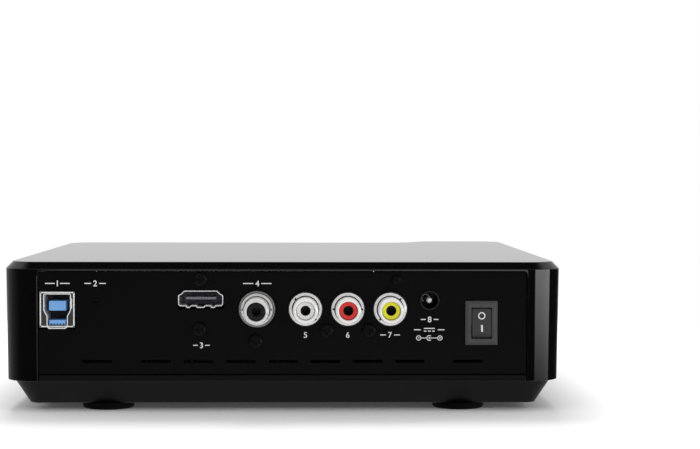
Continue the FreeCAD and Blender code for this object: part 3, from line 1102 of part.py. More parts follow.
# ---------------------------------------------------------------- tray
def tray_frame():
    side_top = TRAY_BOTTOM + TRAY_SIDE_HEIGHT
    floor_top = TRAY_BOTTOM + TRAY_FLOOR
    body = box(DRIVE_X - TRAY_OUTER, DRIVE_X + TRAY_OUTER, FASCIA_BACK, TRAY_REAR_Y,
               TRAY_BOTTOM, side_top)
    body = body.cut(box(DRIVE_X - TRAY_INNER, DRIVE_X + TRAY_INNER, FASCIA_BACK + TRAY_FRONT, BIG,
                        floor_top, BIG))
    cuts = []
    for y in drive_side_screw_ys():
        z = DRIVE_BOTTOM + DRIVE_SCREW_Z
        for side in (-1, 1):
            seat = DRIVE_X + side * (TRAY_OUTER - DRIVE_HEAD_HEIGHT)
            out = DRIVE_X + side * (TRAY_OUTER + 1)
            deep = DRIVE_X + side * (TRAY_INNER - 1)
            cuts.append(rod_x(min(seat, out), max(seat, out), y, z,
                              DRIVE_HEAD_RADIUS + HEAD_CLEARANCE))
            cuts.append(rod_x(min(deep, out), max(deep, out), y, z,
                              DRIVE_SCREW_RADIUS + SCREW_CLEARANCE))
    pitch = DRIVE_LENGTH / (TRAY_SLOTS + 1)
    for number in range(TRAY_SLOTS):
        y = DRIVE_FRONT_Y + pitch * (number + 1)
        for side in (-1, 1):
            x = DRIVE_X + side * DRIVE_WIDTH / 4
            cuts.append(box(x - TRAY_SLOT_LENGTH / 2, x + TRAY_SLOT_LENGTH / 2,
                            y - TRAY_SLOT_WIDTH / 2, y + TRAY_SLOT_WIDTH / 2, 0, floor_top))
    return cut_all(body, cuts)


def handle_pocket():
    half = HANDLE_HEIGHT / 2 + HANDLE_GAP
    return box(POCKET_LEFT, POCKET_RIGHT, -BIG, BEZEL_FACE + HANDLE_THICK + HANDLE_GAP,
               HANDLE_Z - half, HANDLE_Z + half)


def tray_fascia():
    plate = box(DRIVE_X - FASCIA_HALF, DRIVE_X + FASCIA_HALF, BEZEL_FACE, FASCIA_BACK,
                FRAME_BOTTOM, FASCIA_TOP)
    plate = plate.makeFillet(FASCIA_ROUND, edges_along(plate, V(0, 1, 0)))
    half = HANDLE_HEIGHT / 2
    grip = half + HANDLE_GAP + HANDLE_PIN_GRIP + SCREW_CLEARANCE
    edge = LATCH_FLANGE + HANDLE_GAP
    cuts = [
        handle_pocket(),
        rod_z(HANDLE_PIVOT_X, HANDLE_PIVOT_Y, HANDLE_Z - grip, HANDLE_Z + grip,
              HANDLE_PIN + SCREW_CLEARANCE / 2),
        box(LATCH_LEFT - HANDLE_GAP, LATCH_RIGHT + HANDLE_GAP, -BIG, FASCIA_BACK,
            HANDLE_Z - half - HANDLE_GAP, HANDLE_Z + half + HANDLE_GAP),
        box(LATCH_LEFT - edge, LATCH_RIGHT + edge,
            BEZEL_FACE + LATCH_THICK - LATCH_FLANGE_THICK - CASE_GAP, FASCIA_BACK,
            HANDLE_Z - half - edge, HANDLE_Z + half + edge)]
    return cut_all(plate, cuts)


def tray_handle():
    half = HANDLE_HEIGHT / 2
    back = BEZEL_FACE + HANDLE_THICK
    left = HANDLE_PIVOT_X - HANDLE_LENGTH
    bar = box(left, HANDLE_PIVOT_X, BEZEL_FACE, back, HANDLE_Z - half, HANDLE_Z + half)
    knuckle = rod_z(HANDLE_PIVOT_X, HANDLE_PIVOT_Y, HANDLE_Z - half, HANDLE_Z + half,
                    HANDLE_THICK / 2)
    cuts = [rod_z(HANDLE_PIVOT_X, HANDLE_PIVOT_Y, HANDLE_Z - half, HANDLE_Z + half,
                  HANDLE_PIN + RUNNING_CLEARANCE)]
    for number in range(GRIP_RIBS):
        x = left + GRIP_PITCH * (number + 1)
        cuts.append(box(x, x + GRIP_RIB_WIDTH, BEZEL_FACE, BEZEL_FACE + GRIP_RIB_DEPTH,
                        HANDLE_Z - half, HANDLE_Z + half))
    return cut_all(fused([bar, knuckle]), cuts)


def handle_pin():
    reach = HANDLE_HEIGHT / 2 + HANDLE_GAP + HANDLE_PIN_GRIP
    return rod_z(HANDLE_PIVOT_X, HANDLE_PIVOT_Y, HANDLE_Z - reach, HANDLE_Z + reach, HANDLE_PIN)


def latch_button():
    half = HANDLE_HEIGHT / 2
    back = BEZEL_FACE + LATCH_THICK
    cap = box(LATCH_LEFT, LATCH_RIGHT, BEZEL_FACE, back, HANDLE_Z - half, HANDLE_Z + half)
    edge = LATCH_FLANGE
    flange = box(LATCH_LEFT - edge, LATCH_RIGHT + edge, back - LATCH_FLANGE_THICK, back,
                 HANDLE_Z - half - edge, HANDLE_Z + half + edge)
    return fused([cap, flange])


def latch_spring():
    """A leaf behind the latch button, drawn pressed nearly flat against the tray."""
    half = SPRING_HEIGHT / 2
    return box(LATCH_LEFT, LATCH_RIGHT, FASCIA_BACK - SPRING_THICK, FASCIA_BACK,
               HANDLE_Z - half, HANDLE_Z + half)


# ---------------------------------------------------------------- nodes
PARTS = {
    "top_cover": top_cover(), "base_shell": base_shell(), "rear_panel": rear_panel(),
    "front_bezel": front_bezel(), "status_window": status_window(),
    "panel_screws": panel_screws(), "case_screws": case_screws(),
    "board_screws": board_screws(), "cage_screws": cage_screws(),
    "data_socket_shell": data_socket_shell(), "data_socket_insert": data_socket_insert(),
    "video_socket_shell": video_socket_shell(), "video_socket_insert": video_socket_insert(),
    "coax_body": phono_body((COAX_X,), COAX_RING, (COAX_SCREW,), AV_RING_PROUD),
    "coax_sleeve": phono_sleeve(COAX_X, AV_RING_PROUD, COAX_REACH, COAX_COLLAR),
    "coax_insulator": phono_insulator(COAX_X, COAX_REACH, COAX_INSULATOR_SET),
    "av_block": phono_body(AV_XS, AV_RING, AV_SCREWS, AV_RING_PROUD),
    "dc_jack_body": dc_jack_body(), "dc_jack_pin": dc_jack_pin(),
    "switch_frame": switch_frame(), "rocker": rocker(), "switch_terminals": switch_terminals(),
    "reset_switch_body": reset_switch_body(), "reset_plunger": reset_plunger(),
    "main_board": main_board(), "processor": processor(), "heat_sink": heat_sink(),
    "memory_chips": memory_chips(), "capacitors": capacitors(),
    "front_board": front_board(), "power_tact_switch": power_tact_switch(),
    "power_button": power_button(), "status_leds": status_leds(),
    "infrared_receiver": infrared_receiver(), "front_ribbon": front_ribbon(),
    "drive_cage": drive_cage(), "backplane_board": backplane_board(),
    "drive_socket": drive_socket(), "drive_ribbon": drive_ribbon(),
    "drive_casting": drive_casting(), "drive_lid": drive_lid(), "drive_board": drive_board(),
    "drive_plug": drive_plug(), "drive_screws": drive_screws(),
    "tray_frame": tray_frame(), "tray_fascia": tray_fascia(), "tray_handle": tray_handle(),
    "handle_pin": handle_pin(), "latch_button": latch_button(), "latch_spring": latch_spring(),
}
for channel, socket_x in zip(("left", "right", "composite"), AV_XS):
    PARTS[channel + "_sleeve"] = phono_sleeve(socket_x, AV_RING_PROUD, AV_REACH)
    PARTS[channel + "_insulator"] = phono_insulator(socket_x, AV_REACH, AV_INSULATOR_SET)
for end, foot_y in (("front", FRONT_Y + FOOT_INSET), ("rear", REAR_Y - FOOT_INSET)):
    for side_name, side in (("left", -1), ("right", 1)):
        PARTS["foot_" + end + "_" + side_name] = foot(side * FOOT_X, foot_y)

os.makedirs("parts", exist_ok=True)
for name, shape in PARTS.items():
    shape.exportStep("parts/" + name + ".step")
print(len(PARTS), "nodes")
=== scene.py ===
import json
import math

import bmesh
import bpy
import numpy as np
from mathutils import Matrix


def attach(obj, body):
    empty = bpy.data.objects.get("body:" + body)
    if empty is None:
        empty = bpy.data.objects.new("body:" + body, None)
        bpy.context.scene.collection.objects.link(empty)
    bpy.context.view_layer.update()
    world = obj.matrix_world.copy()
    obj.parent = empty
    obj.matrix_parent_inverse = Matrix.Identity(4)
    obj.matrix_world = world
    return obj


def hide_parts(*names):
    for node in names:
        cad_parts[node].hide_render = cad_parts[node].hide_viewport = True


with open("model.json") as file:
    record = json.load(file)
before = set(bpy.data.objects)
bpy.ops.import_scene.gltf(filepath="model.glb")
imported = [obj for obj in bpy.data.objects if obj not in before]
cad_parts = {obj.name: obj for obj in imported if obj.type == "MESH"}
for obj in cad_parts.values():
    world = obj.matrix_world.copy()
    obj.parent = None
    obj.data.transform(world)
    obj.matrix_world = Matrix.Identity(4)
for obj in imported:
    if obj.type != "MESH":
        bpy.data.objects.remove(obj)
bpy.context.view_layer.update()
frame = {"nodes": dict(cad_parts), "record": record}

# ==================================================================== room
# A pale round floor in an evenly lit white room, with a soft lamp above the player's front.
# The camera stands behind the player, a little above its top, and looks at the sockets.
MM = 0.001
REAR_Y = 88.75 * MM
PANEL_Y = 87.95 * MM


class Value:
    """A shader socket in a formula: each operator adds the Math node that works it out."""

    def __init__(self, finish, socket):
        self.finish = finish
        self.socket = socket

    def maths(self, operation, first, second):
        return self.finish.node("Math", {"operation": operation}, {0: first, 1: second})

    def __add__(self, other):
        return self.maths("ADD", self, other)

    def __radd__(self, other):
        return self.maths("ADD", other, self)

    def __sub__(self, other):
        return self.maths("SUBTRACT", self, other)

    def __rsub__(self, other):
        return self.maths("SUBTRACT", other, self)

    def __mul__(self, other):
        return self.maths("MULTIPLY", self, other)

    def __rmul__(self, other):
        return self.maths("MULTIPLY", other, self)

    def __truediv__(self, other):
        return self.maths("DIVIDE", self, other)

    def __gt__(self, other):
        return self.maths("GREATER_THAN", self, other)

    def __lt__(self, other):
        return self.maths("LESS_THAN", self, other)


class NodeTree:
    """Nodes of one material or of the world, made by type, settings and input values or links."""

    def __init__(self, tree):
        self.tree = tree

    def feed(self, socket, value):
        if isinstance(value, Value):
            self.tree.links.new(value.socket, socket)
        else:
            socket.default_value = value

    def node(self, kind, settings=None, inputs=None, output=0):
        made = self.tree.nodes.new("ShaderNode" + kind)
        for name, value in (settings or {}).items():
            setattr(made, name, value)
        for name, value in (inputs or {}).items():
            self.feed(made.inputs[name], value)
        return Value(self, made.outputs[output])

    def mixed(self, mask, low, high):
        """The colour low where the mask is 0 and high where it is 1."""
        return self.node("Mix", {"data_type": "RGBA"}, {0: mask, 6: low, 7: high}, 2)

    def ramp(self, value, start, end):
        """0 below start, 1 above end and a smooth step between them."""
        return self.node("MapRange", {"interpolation_type": "SMOOTHSTEP"},
                         {"Value": value, "From Min": start, "From Max": end})


world = bpy.data.worlds.new("white_room")
bpy.context.scene.world = world
world.use_nodes = True
room = NodeTree(world.node_tree)
ray_is_camera = room.node("LightPath", output="Is Camera Ray")
ray_is_glossy = room.node("LightPath", output="Is Glossy Ray")
direction = room.node("TexCoord", output="Generated")
ray_x = room.node("SeparateXYZ", inputs={0: direction}, output="X")
ray_y = room.node("SeparateXYZ", inputs={0: direction}, output="Y")
ray_z = room.node("SeparateXYZ", inputs={0: direction}, output="Z")
white = (1, 1, 1, 1)
# The brightness of each thing that gloss sees, where 1 is white.
FAR_WALL, NEAR_WALL, FLOOR_GLOW, AMBIENT = 0.7, 0.35, 0.34, 0.02
SIDE_PANEL, SIDE_GLOW, FRONT_GLOW, CARD_RISE, BRIGHTEST = 3.9, 0.3, 0.3, 1.2, 4
# Gloss sees a white wall in front of the player and a grey one behind the camera, a white panel at
# one side, a glow low down at both sides and in front, a low white card behind, and the floor.
far_wall = room.ramp(ray_y * -1, -0.15, 0.3) * (ray_z > 0) * FAR_WALL
near_wall = room.ramp(ray_y, -0.15, 0.15) * room.ramp(ray_z, 0.1, 0.3) * NEAR_WALL
walls = (far_wall + near_wall) * (1 - room.ramp(ray_z, 0.8, 0.95))
floor_glow = (1 - room.ramp(ray_z, -0.4, -0.18)) * FLOOR_GLOW
bearing = room.node("Math", {"operation": "ARCTAN2"}, {0: ray_x * -1, 1: ray_y})


def span(angle, start_deg, end_deg, soft_deg):
    """1 between two angles and 0 outside them, with soft ends."""
    start, end, soft = math.radians(start_deg), math.radians(end_deg), math.radians(soft_deg)
    return room.ramp(angle, start, start + soft) * (1 - room.ramp(angle, end - soft, end))


side_panel = span(bearing, 29, 89, 4) * room.ramp(ray_z, -0.17, -0.05)
side_panel = side_panel * (1 - room.ramp(ray_z, 0.0, 0.3)) * SIDE_PANEL
side_glow = room.ramp(bearing * -1, math.radians(60), math.radians(140))
side_glow = side_glow + room.ramp(bearing, math.radians(130), math.radians(178))
side_glow = side_glow * (ray_z < 0) * SIDE_GLOW
front_glow = (1 - room.ramp(ray_y, 0.4, 0.75)) * (1 - room.ramp(ray_z, -0.26, -0.14)) * FRONT_GLOW
low_card = span(bearing, -8, 7.6, 0.5) * span(ray_z, -30, -3.4, 0.4)
low_card = low_card * (room.ramp(bearing, 0, math.radians(8)) * CARD_RISE + 1)
level = walls + floor_glow + side_panel + side_glow + front_glow + low_card + AMBIENT
gloss_light = room.mixed(level / BRIGHTEST, (0, 0, 0, 1), (BRIGHTEST, BRIGHTEST, BRIGHTEST, 1))
seen = room.mixed(ray_is_glossy, white, gloss_light)
room.feed(world.node_tree.nodes["Background"].inputs["Color"], room.mixed(ray_is_camera, seen, white))

FLOOR_RADIUS, FLOOR_SIDES = 0.32, 96
turn = np.linspace(0, 2 * np.pi, FLOOR_SIDES + 1)[:-1]
floor_mesh = bpy.data.meshes.new("floor")
floor_mesh.from_pydata([(FLOOR_RADIUS * math.cos(a), FLOOR_RADIUS * math.sin(a), 0.0) for a in turn],
                       [], [list(range(len(turn)))])
floor = bpy.data.objects.new("floor", floor_mesh)
bpy.context.collection.objects.link(floor)
floor_material = bpy.data.materials.new("floor_white")
floor_material.use_nodes = True
floor_nodes = NodeTree(floor_material.node_tree)
floor_shader = floor_material.node_tree.nodes["Principled BSDF"]
floor_shader.inputs["Base Color"].default_value = (0.82, 0.82, 0.82, 1)
floor_shader.inputs["Roughness"].default_value = 0.9
floor_shader.inputs["Specular IOR Level"].default_value = 0.1
floor_shader.inputs["Emission Strength"].default_value = 1.0
floor_nodes.feed(floor_shader.inputs["Emission Color"],
                 floor_nodes.mixed(floor_nodes.node("LightPath", output="Is Camera Ray"),
                                   (0, 0, 0, 1), (0.04, 0.04, 0.04, 1)))
floor_mesh.materials.append(floor_material)
floor.visible_glossy = False


def lamp(name, place, aim, size, power):
    """A square soft lamp at a place, turned towards a point. Gloss sees the room and not the lamp."""
    data = bpy.data.lights.new(name, "AREA")
    data.size = size
    data.energy = power
    made = bpy.data.objects.new(name, data)
    made.location = place
    away = [p - a for p, a in zip(place, aim)]
    flat = math.hypot(away[0], away[1])
    made.rotation_euler = (math.atan2(flat, away[2]), 0, math.atan2(away[1], away[0]) + math.pi / 2)
    made.visible_glossy = False
    bpy.context.collection.objects.link(made)


LAMP_PLACE, LAMP_AIM, LAMP_SIZE, LAMP_POWER = (0.05, -0.55, 0.95), (0, 0.0, 0.03), 0.5, 8.0
lamp("soft_front_lamp", LAMP_PLACE, LAMP_AIM, LAMP_SIZE, LAMP_POWER)

VIEW_TURN, VIEW_DROP, VIEW_ROLL = math.radians(1.457), math.radians(1.596), math.radians(0.117)
VIEW_ACROSS, VIEW_AWAY, VIEW_UP = -6.47, 602.5, 78.5
LENS, SENSOR = 94.69, 36
camera_data = bpy.data.cameras.new("camera")
camera_data.lens = LENS
camera_data.sensor_width = SENSOR
camera = bpy.data.objects.new("camera", camera_data)
camera.location = (VIEW_ACROSS * MM, REAR_Y + VIEW_AWAY * MM, VIEW_UP * MM)
camera.rotation_euler = (math.pi / 2 - VIEW_DROP, -VIEW_ROLL, math.pi - VIEW_TURN)
bpy.context.collection.objects.link(camera)
bpy.context.scene.camera = camera
bpy.context.scene.view_settings.view_transform = "Standard"

# ==================================================================== top cover
# The cover is one moulding in piano black: a flat top, an edge cut at 45 degrees and round corners.
# It is open at the rear for the socket panel and at the front for the bezel and the tray.
HALF_WIDTH, CORNER = 92.0, 11.5
REAR, FRONT, POD = 88.75, -85.25, -101.25
POD_EDGE_X, POD_CURVE = -52.0, 12.0
COVER_TOP, COVER_LOW, COVER_WALL, CHAMFER = 49.3, 10.1, 2.5, 2.3
DRAFT = 0.6
OPENING_HALF, OPENING_TOP, OPENING_ROUND = 80.3, 46.4, 1.2
ARC_POINTS = 25
EDGE_DEG = 32  # faces that meet at more than this have a sharp edge between them


class Finish(NodeTree):
    """A procedural material: fixed values on the shader's own sockets, varying ones linked to it."""

    def __init__(self, name, colour, roughness, fixed=None):
        self.material = bpy.data.materials.new(name)
        self.material.use_nodes = True
        super().__init__(self.material.node_tree)
        self.shader = self.tree.nodes["Principled BSDF"]
        self.set({"Base Color": (*colour, 1), "Roughness": roughness, **(fixed or {})})

    def set(self, inputs):
        for name, value in inputs.items():
            self.feed(self.shader.inputs[name], value)

    def place(self):
        return self.node("TexCoord", output="Object")

    def noise(self, size_mm, detail=2.0):
        """Cloudy grain, from 0 to 1, whose lumps are about size_mm across."""
        return self.node("TexNoise", None, {"Vector": self.place(), "Scale": 1000 / size_mm,
                                            "Detail": detail})

    def bump(self, height, depth_mm, strength=1.0):
        self.set({"Normal": self.node("Bump", None, {"Height": height, "Strength": strength,
                                                     "Distance": depth_mm * MM})})


def between(value, low, high):
    """A 0 to 1 value stretched to run from low to high."""
    return value * (high - low) + low


def gloss_black():
    """Piano black: a deep mirror with faint wiping haze and a trace of mould ripple."""
    finish = Finish("gloss_black", (0.0018, 0.0018, 0.002), 0.05)
    haze = finish.noise(24, 4) * finish.noise(1.7, 3)
    finish.set({"Roughness": between(haze, 0.03, 0.12)})
    finish.bump(finish.noise(9, 1), 0.004, 0.5)
    return finish.material


def skin(name, grid, wrap_u=False, wrap_v=False):
    """A mesh of quads over a grid of points in millimetres, with its closed ends merged.
    A wrapped direction joins its last line of points to its first."""
    rows, columns = grid.shape[:2]
    number = np.arange(rows * columns).reshape(rows, columns)
    if wrap_u:
        number = np.vstack([number, number[:1]])
    if wrap_v:
        number = np.hstack([number, number[:, :1]])
    quads = np.stack([number[:-1, :-1], number[1:, :-1], number[1:, 1:], number[:-1, 1:]], axis=-1)
    mesh = bpy.data.meshes.new(name)
    mesh.from_pydata((grid.reshape(-1, 3) * MM).tolist(), [], quads.reshape(-1, 4).tolist())
    return settled(name, mesh)


def settled(name, mesh, flat_deg=None):
    """An object from a mesh whose doubled points are merged and whose faces point outwards.
    Faces that meet at less than flat_deg become one face."""
    work = bmesh.new()
    work.from_mesh(mesh)
    bmesh.ops.remove_doubles(work, verts=work.verts, dist=1e-7)
    if flat_deg:
        bmesh.ops.dissolve_limit(work, angle_limit=math.radians(flat_deg), verts=work.verts,
                                 edges=work.edges)
    bmesh.ops.dissolve_degenerate(work, edges=work.edges, dist=1e-8)
    bmesh.ops.recalc_face_normals(work, faces=work.faces)
    work.to_mesh(mesh)
    work.free()
    mesh.shade_smooth()
    mesh.set_sharp_from_angle(angle=math.radians(EDGE_DEG))
    piece = bpy.data.objects.new(name, mesh)
    bpy.context.collection.objects.link(piece)
    return piece


def soften(piece, width_mm, segments=2):
    """Rounds a piece's sharp edges by a small radius and keeps its flat faces' shading flat."""
    bevel = piece.modifiers.new("edge", "BEVEL")
    bevel.width = width_mm * MM
    bevel.segments = segments
    bevel.limit_method = "ANGLE"
    bevel.angle_limit = math.radians(EDGE_DEG)
    bevel.use_clamp_overlap = False
    bevel.harden_normals = True
    evened = piece.modifiers.new("evened", "WEIGHTED_NORMAL")
    evened.keep_sharp = True
    return piece


BODY_OF = {node: body for body, nodes in frame["record"]["behaviour"]["bodies"].items()
           for node in nodes}


def fit(piece, node, material, replaced=True):
    """Gives a piece its material and body, and lets it stand for its node."""
    piece.data.materials.clear()
    piece.data.materials.append(material)
    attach(piece, BODY_OF[node])
    if replaced:
        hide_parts(node)
    return piece


def plan_path():
    """Points and outward normals along the case's plan outline, anticlockwise from above.
    Each round stretch is centre + radius * (cos, sin); the hollow curve's normal points inwards."""
    swing = math.degrees(math.acos(1 - (FRONT - POD) / (2 * POD_CURVE)))
    half = POD_CURVE * math.sin(math.radians(swing))
    side = HALF_WIDTH - CORNER
    arcs = [((side, REAR - CORNER), CORNER, 0, 90, 1),
            ((-side, REAR - CORNER), CORNER, 90, 180, 1),
            ((-side, POD + CORNER), CORNER, 180, 270, 1),
            ((POD_EDGE_X - half, POD + POD_CURVE), POD_CURVE, 270, 270 + swing, 1),
            ((POD_EDGE_X + half, FRONT - POD_CURVE), POD_CURVE, 90 + swing, 90, -1),
            ((side, FRONT + CORNER), CORNER, 270, 360, 1)]
    points, normals = [], []
    for centre, radius, start, end, sign in arcs:
        angle = np.radians(np.linspace(start, end, ARC_POINTS))
        way = np.stack([np.cos(angle), np.sin(angle)], axis=1)
        points.append(np.array(centre) + radius * way)
        normals.append(sign * way)
    return np.vstack(points), np.vstack(normals)


def cover_stations():
    """The outline with doubled points at the openings' ends, and the cover's lower edge there.
    In an opening the edge is a lip, whose ends curve down by the opening's corner radius."""
    points, normals = plan_path()
    low = np.full(len(points), COVER_LOW)
    bend = np.radians(np.linspace(0, 90, 7))
    lip_x = OPENING_HALF - OPENING_ROUND * (1 - np.cos(bend))
    lip_z = OPENING_TOP - OPENING_ROUND * (1 - np.sin(bend))
    ends_x = np.concatenate([[OPENING_HALF], lip_x])
    ends_z = np.concatenate([[COVER_LOW], lip_z])
    rows = []
    for corner in range(6):
        part = slice(corner * ARC_POINTS, (corner + 1) * ARC_POINTS)
        rows.append((points[part], normals[part], low[part]))
        if corner == 0:
            opening = (np.concatenate([ends_x, -ends_x[::-1]]), REAR, (0, 1))
        elif corner == 2:
            opening = (-ends_x, POD, (0, -1))
        elif corner == 4:
            opening = (ends_x[::-1], FRONT, (0, -1))
        else:
            continue
        xs, y, normal = opening
        zs = ends_z if corner == 2 else ends_z[::-1]
        zs = np.concatenate([ends_z, ends_z[::-1]]) if corner == 0 else zs
        rows.append((np.stack([xs, np.full(len(xs), y)], axis=1), np.tile(normal, (len(xs), 1)), zs))
    # Between the pod and the main front the whole curve belongs to the front opening.
    for corner in (3, 4):
        index = corner + 2
        rows[index][2][:] = OPENING_TOP
    return [np.concatenate(column) for column in zip(*rows)]


def build_cover():
    """The section (inset, height) carried round the outline, from the top's middle to the ceiling's.
    The outer wall leans in towards its lower edge. The top's faces fan out from a point level with
    the pod's edge, where none of them folds over."""
    points, normals, low = cover_stations()
    count = len(points)
    shoulder = np.full(count, COVER_TOP - CHAMFER)
    lean = DRAFT * (shoulder - low) / (shoulder - COVER_LOW)
    wall = np.full(count, COVER_WALL)
    section = [(wall * 0 + CHAMFER, shoulder + CHAMFER), (wall * 0, shoulder), (lean, low),
               (wall, low), (wall, shoulder + CHAMFER - COVER_WALL)]
    rings = [np.column_stack([points - inset[:, None] * normals, height]) for inset, height in section]
    middle = np.tile((POD_EDGE_X, 0, COVER_TOP), (count, 1))
    top, ceiling = middle, middle - (0, 0, COVER_WALL)
    grid = np.stack([top, *rings, ceiling], axis=1)
    return skin("cover_moulding", grid, wrap_u=True)


piano_black = gloss_black()
fit(soften(build_cover(), 0.15), "top_cover", piano_black)

# ==================================================================== base
# The base is a tub in fine-textured black whose sides slope in towards the floor.
# It closes the cover from below with four screws, and its sill shows under the socket panel.


def matte_black(name="base_black", shade=0.0018, grain_mm=0.28, depth_mm=0.012, roughness=0.5):
    """Moulded black with an even spark-eroded grain."""
    finish = Finish(name, (shade, shade, shade), roughness, {"Specular IOR Level": 0.16})
    finish.set({"Roughness": between(finish.noise(3, 3), roughness - 0.06, roughness + 0.08)})
    finish.bump(finish.noise(grain_mm, 2), depth_mm, 0.6)
    return finish.material


def trimmed(node, edge_mm, segments=2):
    """A copy of a frame node with merged points, whole flat faces and softly rounded edges."""
    mesh = frame["nodes"][node].data.copy()
    return soften(settled(node + "_moulding", mesh, flat_deg=0.5), edge_mm, segments)


tub_black = matte_black()
fit(trimmed("base_shell", 0.3), "base_shell", tub_black)

# ==================================================================== feet
# Four round pads of soft black rubber are glued under the base.
# Their lower rims are rounded, and their skin has the dull grain of rubber.


def rubber():
    finish = Finish("foot_rubber", (0.0012, 0.0012, 0.0012), 0.8, {"Specular IOR Level": 0.1})
    finish.set({"Roughness": between(finish.noise(2.2, 3), 0.7, 0.92)})
    finish.bump(finish.noise(0.5, 3), 0.03, 0.7)
    return finish.material


def paint(node, material):
    """Gives a frame node its material and leaves its shape alone."""
    for slot in frame["nodes"][node].material_slots:
        slot.material = material


foot_rubber = rubber()
for foot in ("foot_front_left", "foot_front_right", "foot_rear_left", "foot_rear_right"):
    paint(foot, foot_rubber)

# ==================================================================== socket panel and its print
# The panel is a flat plate in satin black, with nine cooling slots and holes for the sockets.
# White screen print beside each socket gives its number.


def satin_black():
    finish = Finish("panel_satin", (0.001, 0.001, 0.0012), 0.36, {"Specular IOR Level": 0.12})
    finish.set({"Roughness": between(finish.noise(5, 3), 0.32, 0.42)})
    finish.bump(finish.noise(0.22, 2), 0.006, 0.6)
    return finish.material


def ink():
    finish = Finish("white_ink", (0.72, 0.72, 0.72), 0.55)
    speck = finish.noise(0.18, 2)
    finish.set({"Base Color": finish.mixed(speck, (0.6, 0.6, 0.6, 1), (0.82, 0.82, 0.82, 1))})
    return finish.material


PRINT_PROUD, HOOP_SIDES = 0.03, 32
white_ink = ink()
paint("rear_panel", satin_black())


def printed(name, place, faces, body):
    """A thin sheet of white ink over points (x, y, z) in millimetres, fixed to a body."""
    mesh = bpy.data.meshes.new(name)
    mesh.from_pydata((place * MM).tolist(), [], faces)
    mesh.materials.append(white_ink)
    piece = bpy.data.objects.new(name, mesh)
    bpy.context.collection.objects.link(piece)
    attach(piece, body)


def bar(across, up, width, height):
    """Points and face of a printed bar about its centre."""
    return ([(across - width / 2, up - height / 2), (across + width / 2, up - height / 2),
             (across + width / 2, up + height / 2), (across - width / 2, up + height / 2)],
            [(0, 1, 2, 3)])


def hoop(across, up, radius, thick, start=0, end=360):
    """Points and faces of a printed ring or arc."""
    step = HOOP_SIDES + 1
    angle = np.radians(np.linspace(start, end, step))
    way = np.stack([np.cos(angle), np.sin(angle)], axis=1)
    points = np.vstack([(across, up) + (radius + side * thick / 2) * way for side in (-1, 1)])
    return points.tolist(), [(k, k + step, k + step + 1, k + 1) for k in range(HOOP_SIDES)]


def print_group(name, figures):
    """Figures of points (across, up) in millimetres, seen from behind the player, joined in one
    printed sheet that lies just proud of the panel."""
    points, faces = [], []
    for figure_points, figure_faces in figures:
        first = len(points)
        points += list(figure_points)
        faces += [tuple(first + corner for corner in face) for face in figure_faces]
    flat = np.asarray(points, float)
    ink_y = np.full(len(flat), PANEL_Y / MM + PRINT_PROUD)
    printed(name, np.column_stack([-flat[:, 0], ink_y, flat[:, 1]]), faces, "housing")


def numeral(text, height):
    """Points and faces of a number in a plain typeface, centred on the origin."""
    curve = bpy.data.curves.new("numeral", "FONT")
    curve.body = text
    curve.align_x = "CENTER"
    curve.align_y = "CENTER"
    curve.offset = 0.012
    holder = bpy.data.objects.new("numeral", curve)
    bpy.context.collection.objects.link(holder)
    bpy.context.view_layer.update()
    mesh = bpy.data.meshes.new_from_object(holder.evaluated_get(bpy.context.evaluated_depsgraph_get()))
    points = np.zeros(len(mesh.vertices) * 3)
    mesh.vertices.foreach_get("co", points)
    points = points.reshape(-1, 3)[:, :2]
    points -= (points.min(axis=0) + points.max(axis=0)) / 2
    points *= height / np.ptp(points[:, 1])
    faces = [tuple(face.vertices) for face in mesh.polygons]
    bpy.data.objects.remove(holder)
    return points, faces


NUMERAL_HEIGHT, RULE_THICK, RULE_GAP = 1.9, 0.3, 0.7
UPPER_ROW, LOWER_ROW = 42.3, 25.4
LABELS = (("1", -73.8, UPPER_ROW, 8.0), ("2", -61.5, UPPER_ROW, 7.0), ("3", -26.8, 22.0, 5.4),
          ("4", -8.5, UPPER_ROW, 9.3), ("5", 7.3, LOWER_ROW, 0.0), ("6", 21.2, LOWER_ROW, 0.0),
          ("7", 35.1, LOWER_ROW, 6.5), ("8", 48.1, 30.5, 5.8))
for text, across, up, width in LABELS:
    points, faces = numeral(text, NUMERAL_HEIGHT)
    figures = [(points + (across, up), faces)]
    inner = np.ptp(points[:, 0]) / 2 + RULE_GAP
    rule = width / 2 - inner
    if rule > 0:
        figures += [bar(across + side * (inner + rule / 2), up, rule, RULE_THICK) for side in (-1, 1)]
    print_group("socket_number_" + text, figures)

# The inlet's print shows direct current, a bar over three dashes, and which pole is inside.
INLET_ACROSS, POLE_UP, CURRENT_UP = 48.0, 24.4, 27.1
CURRENT_HALF, DASH_PITCH, SIDE_RULE, POLE_REACH = 0.45, 1.35, 3.9, 3.5
POLE_THICK, SIGN_SIZE, SIGN_THICK = 0.24, 0.7, 0.2
current = [bar(INLET_ACROSS, CURRENT_UP + CURRENT_HALF, 3.6, RULE_THICK)]
current += [bar(INLET_ACROSS + step * DASH_PITCH, CURRENT_UP - CURRENT_HALF, 0.9, RULE_THICK)
            for step in (-1, 0, 1)]
current += [bar(INLET_ACROSS + side * SIDE_RULE, CURRENT_UP, 2.2, RULE_THICK) for side in (-1, 1)]
print_group("direct_current_mark", current)
poles = [hoop(INLET_ACROSS + side * POLE_REACH, POLE_UP, 0.72, POLE_THICK) for side in (-1, 1)]
poles += [hoop(INLET_ACROSS, POLE_UP, 0.8, 0.26, 50, 310), hoop(INLET_ACROSS, POLE_UP, 0.14, 0.28)]
poles += [bar(INLET_ACROSS - 1.8, POLE_UP, 1.9, POLE_THICK),
          bar(INLET_ACROSS + 1.5, POLE_UP, 2.5, POLE_THICK)]
poles += [bar(INLET_ACROSS + side * POLE_REACH, POLE_UP, SIGN_SIZE, SIGN_THICK) for side in (-1, 1)]
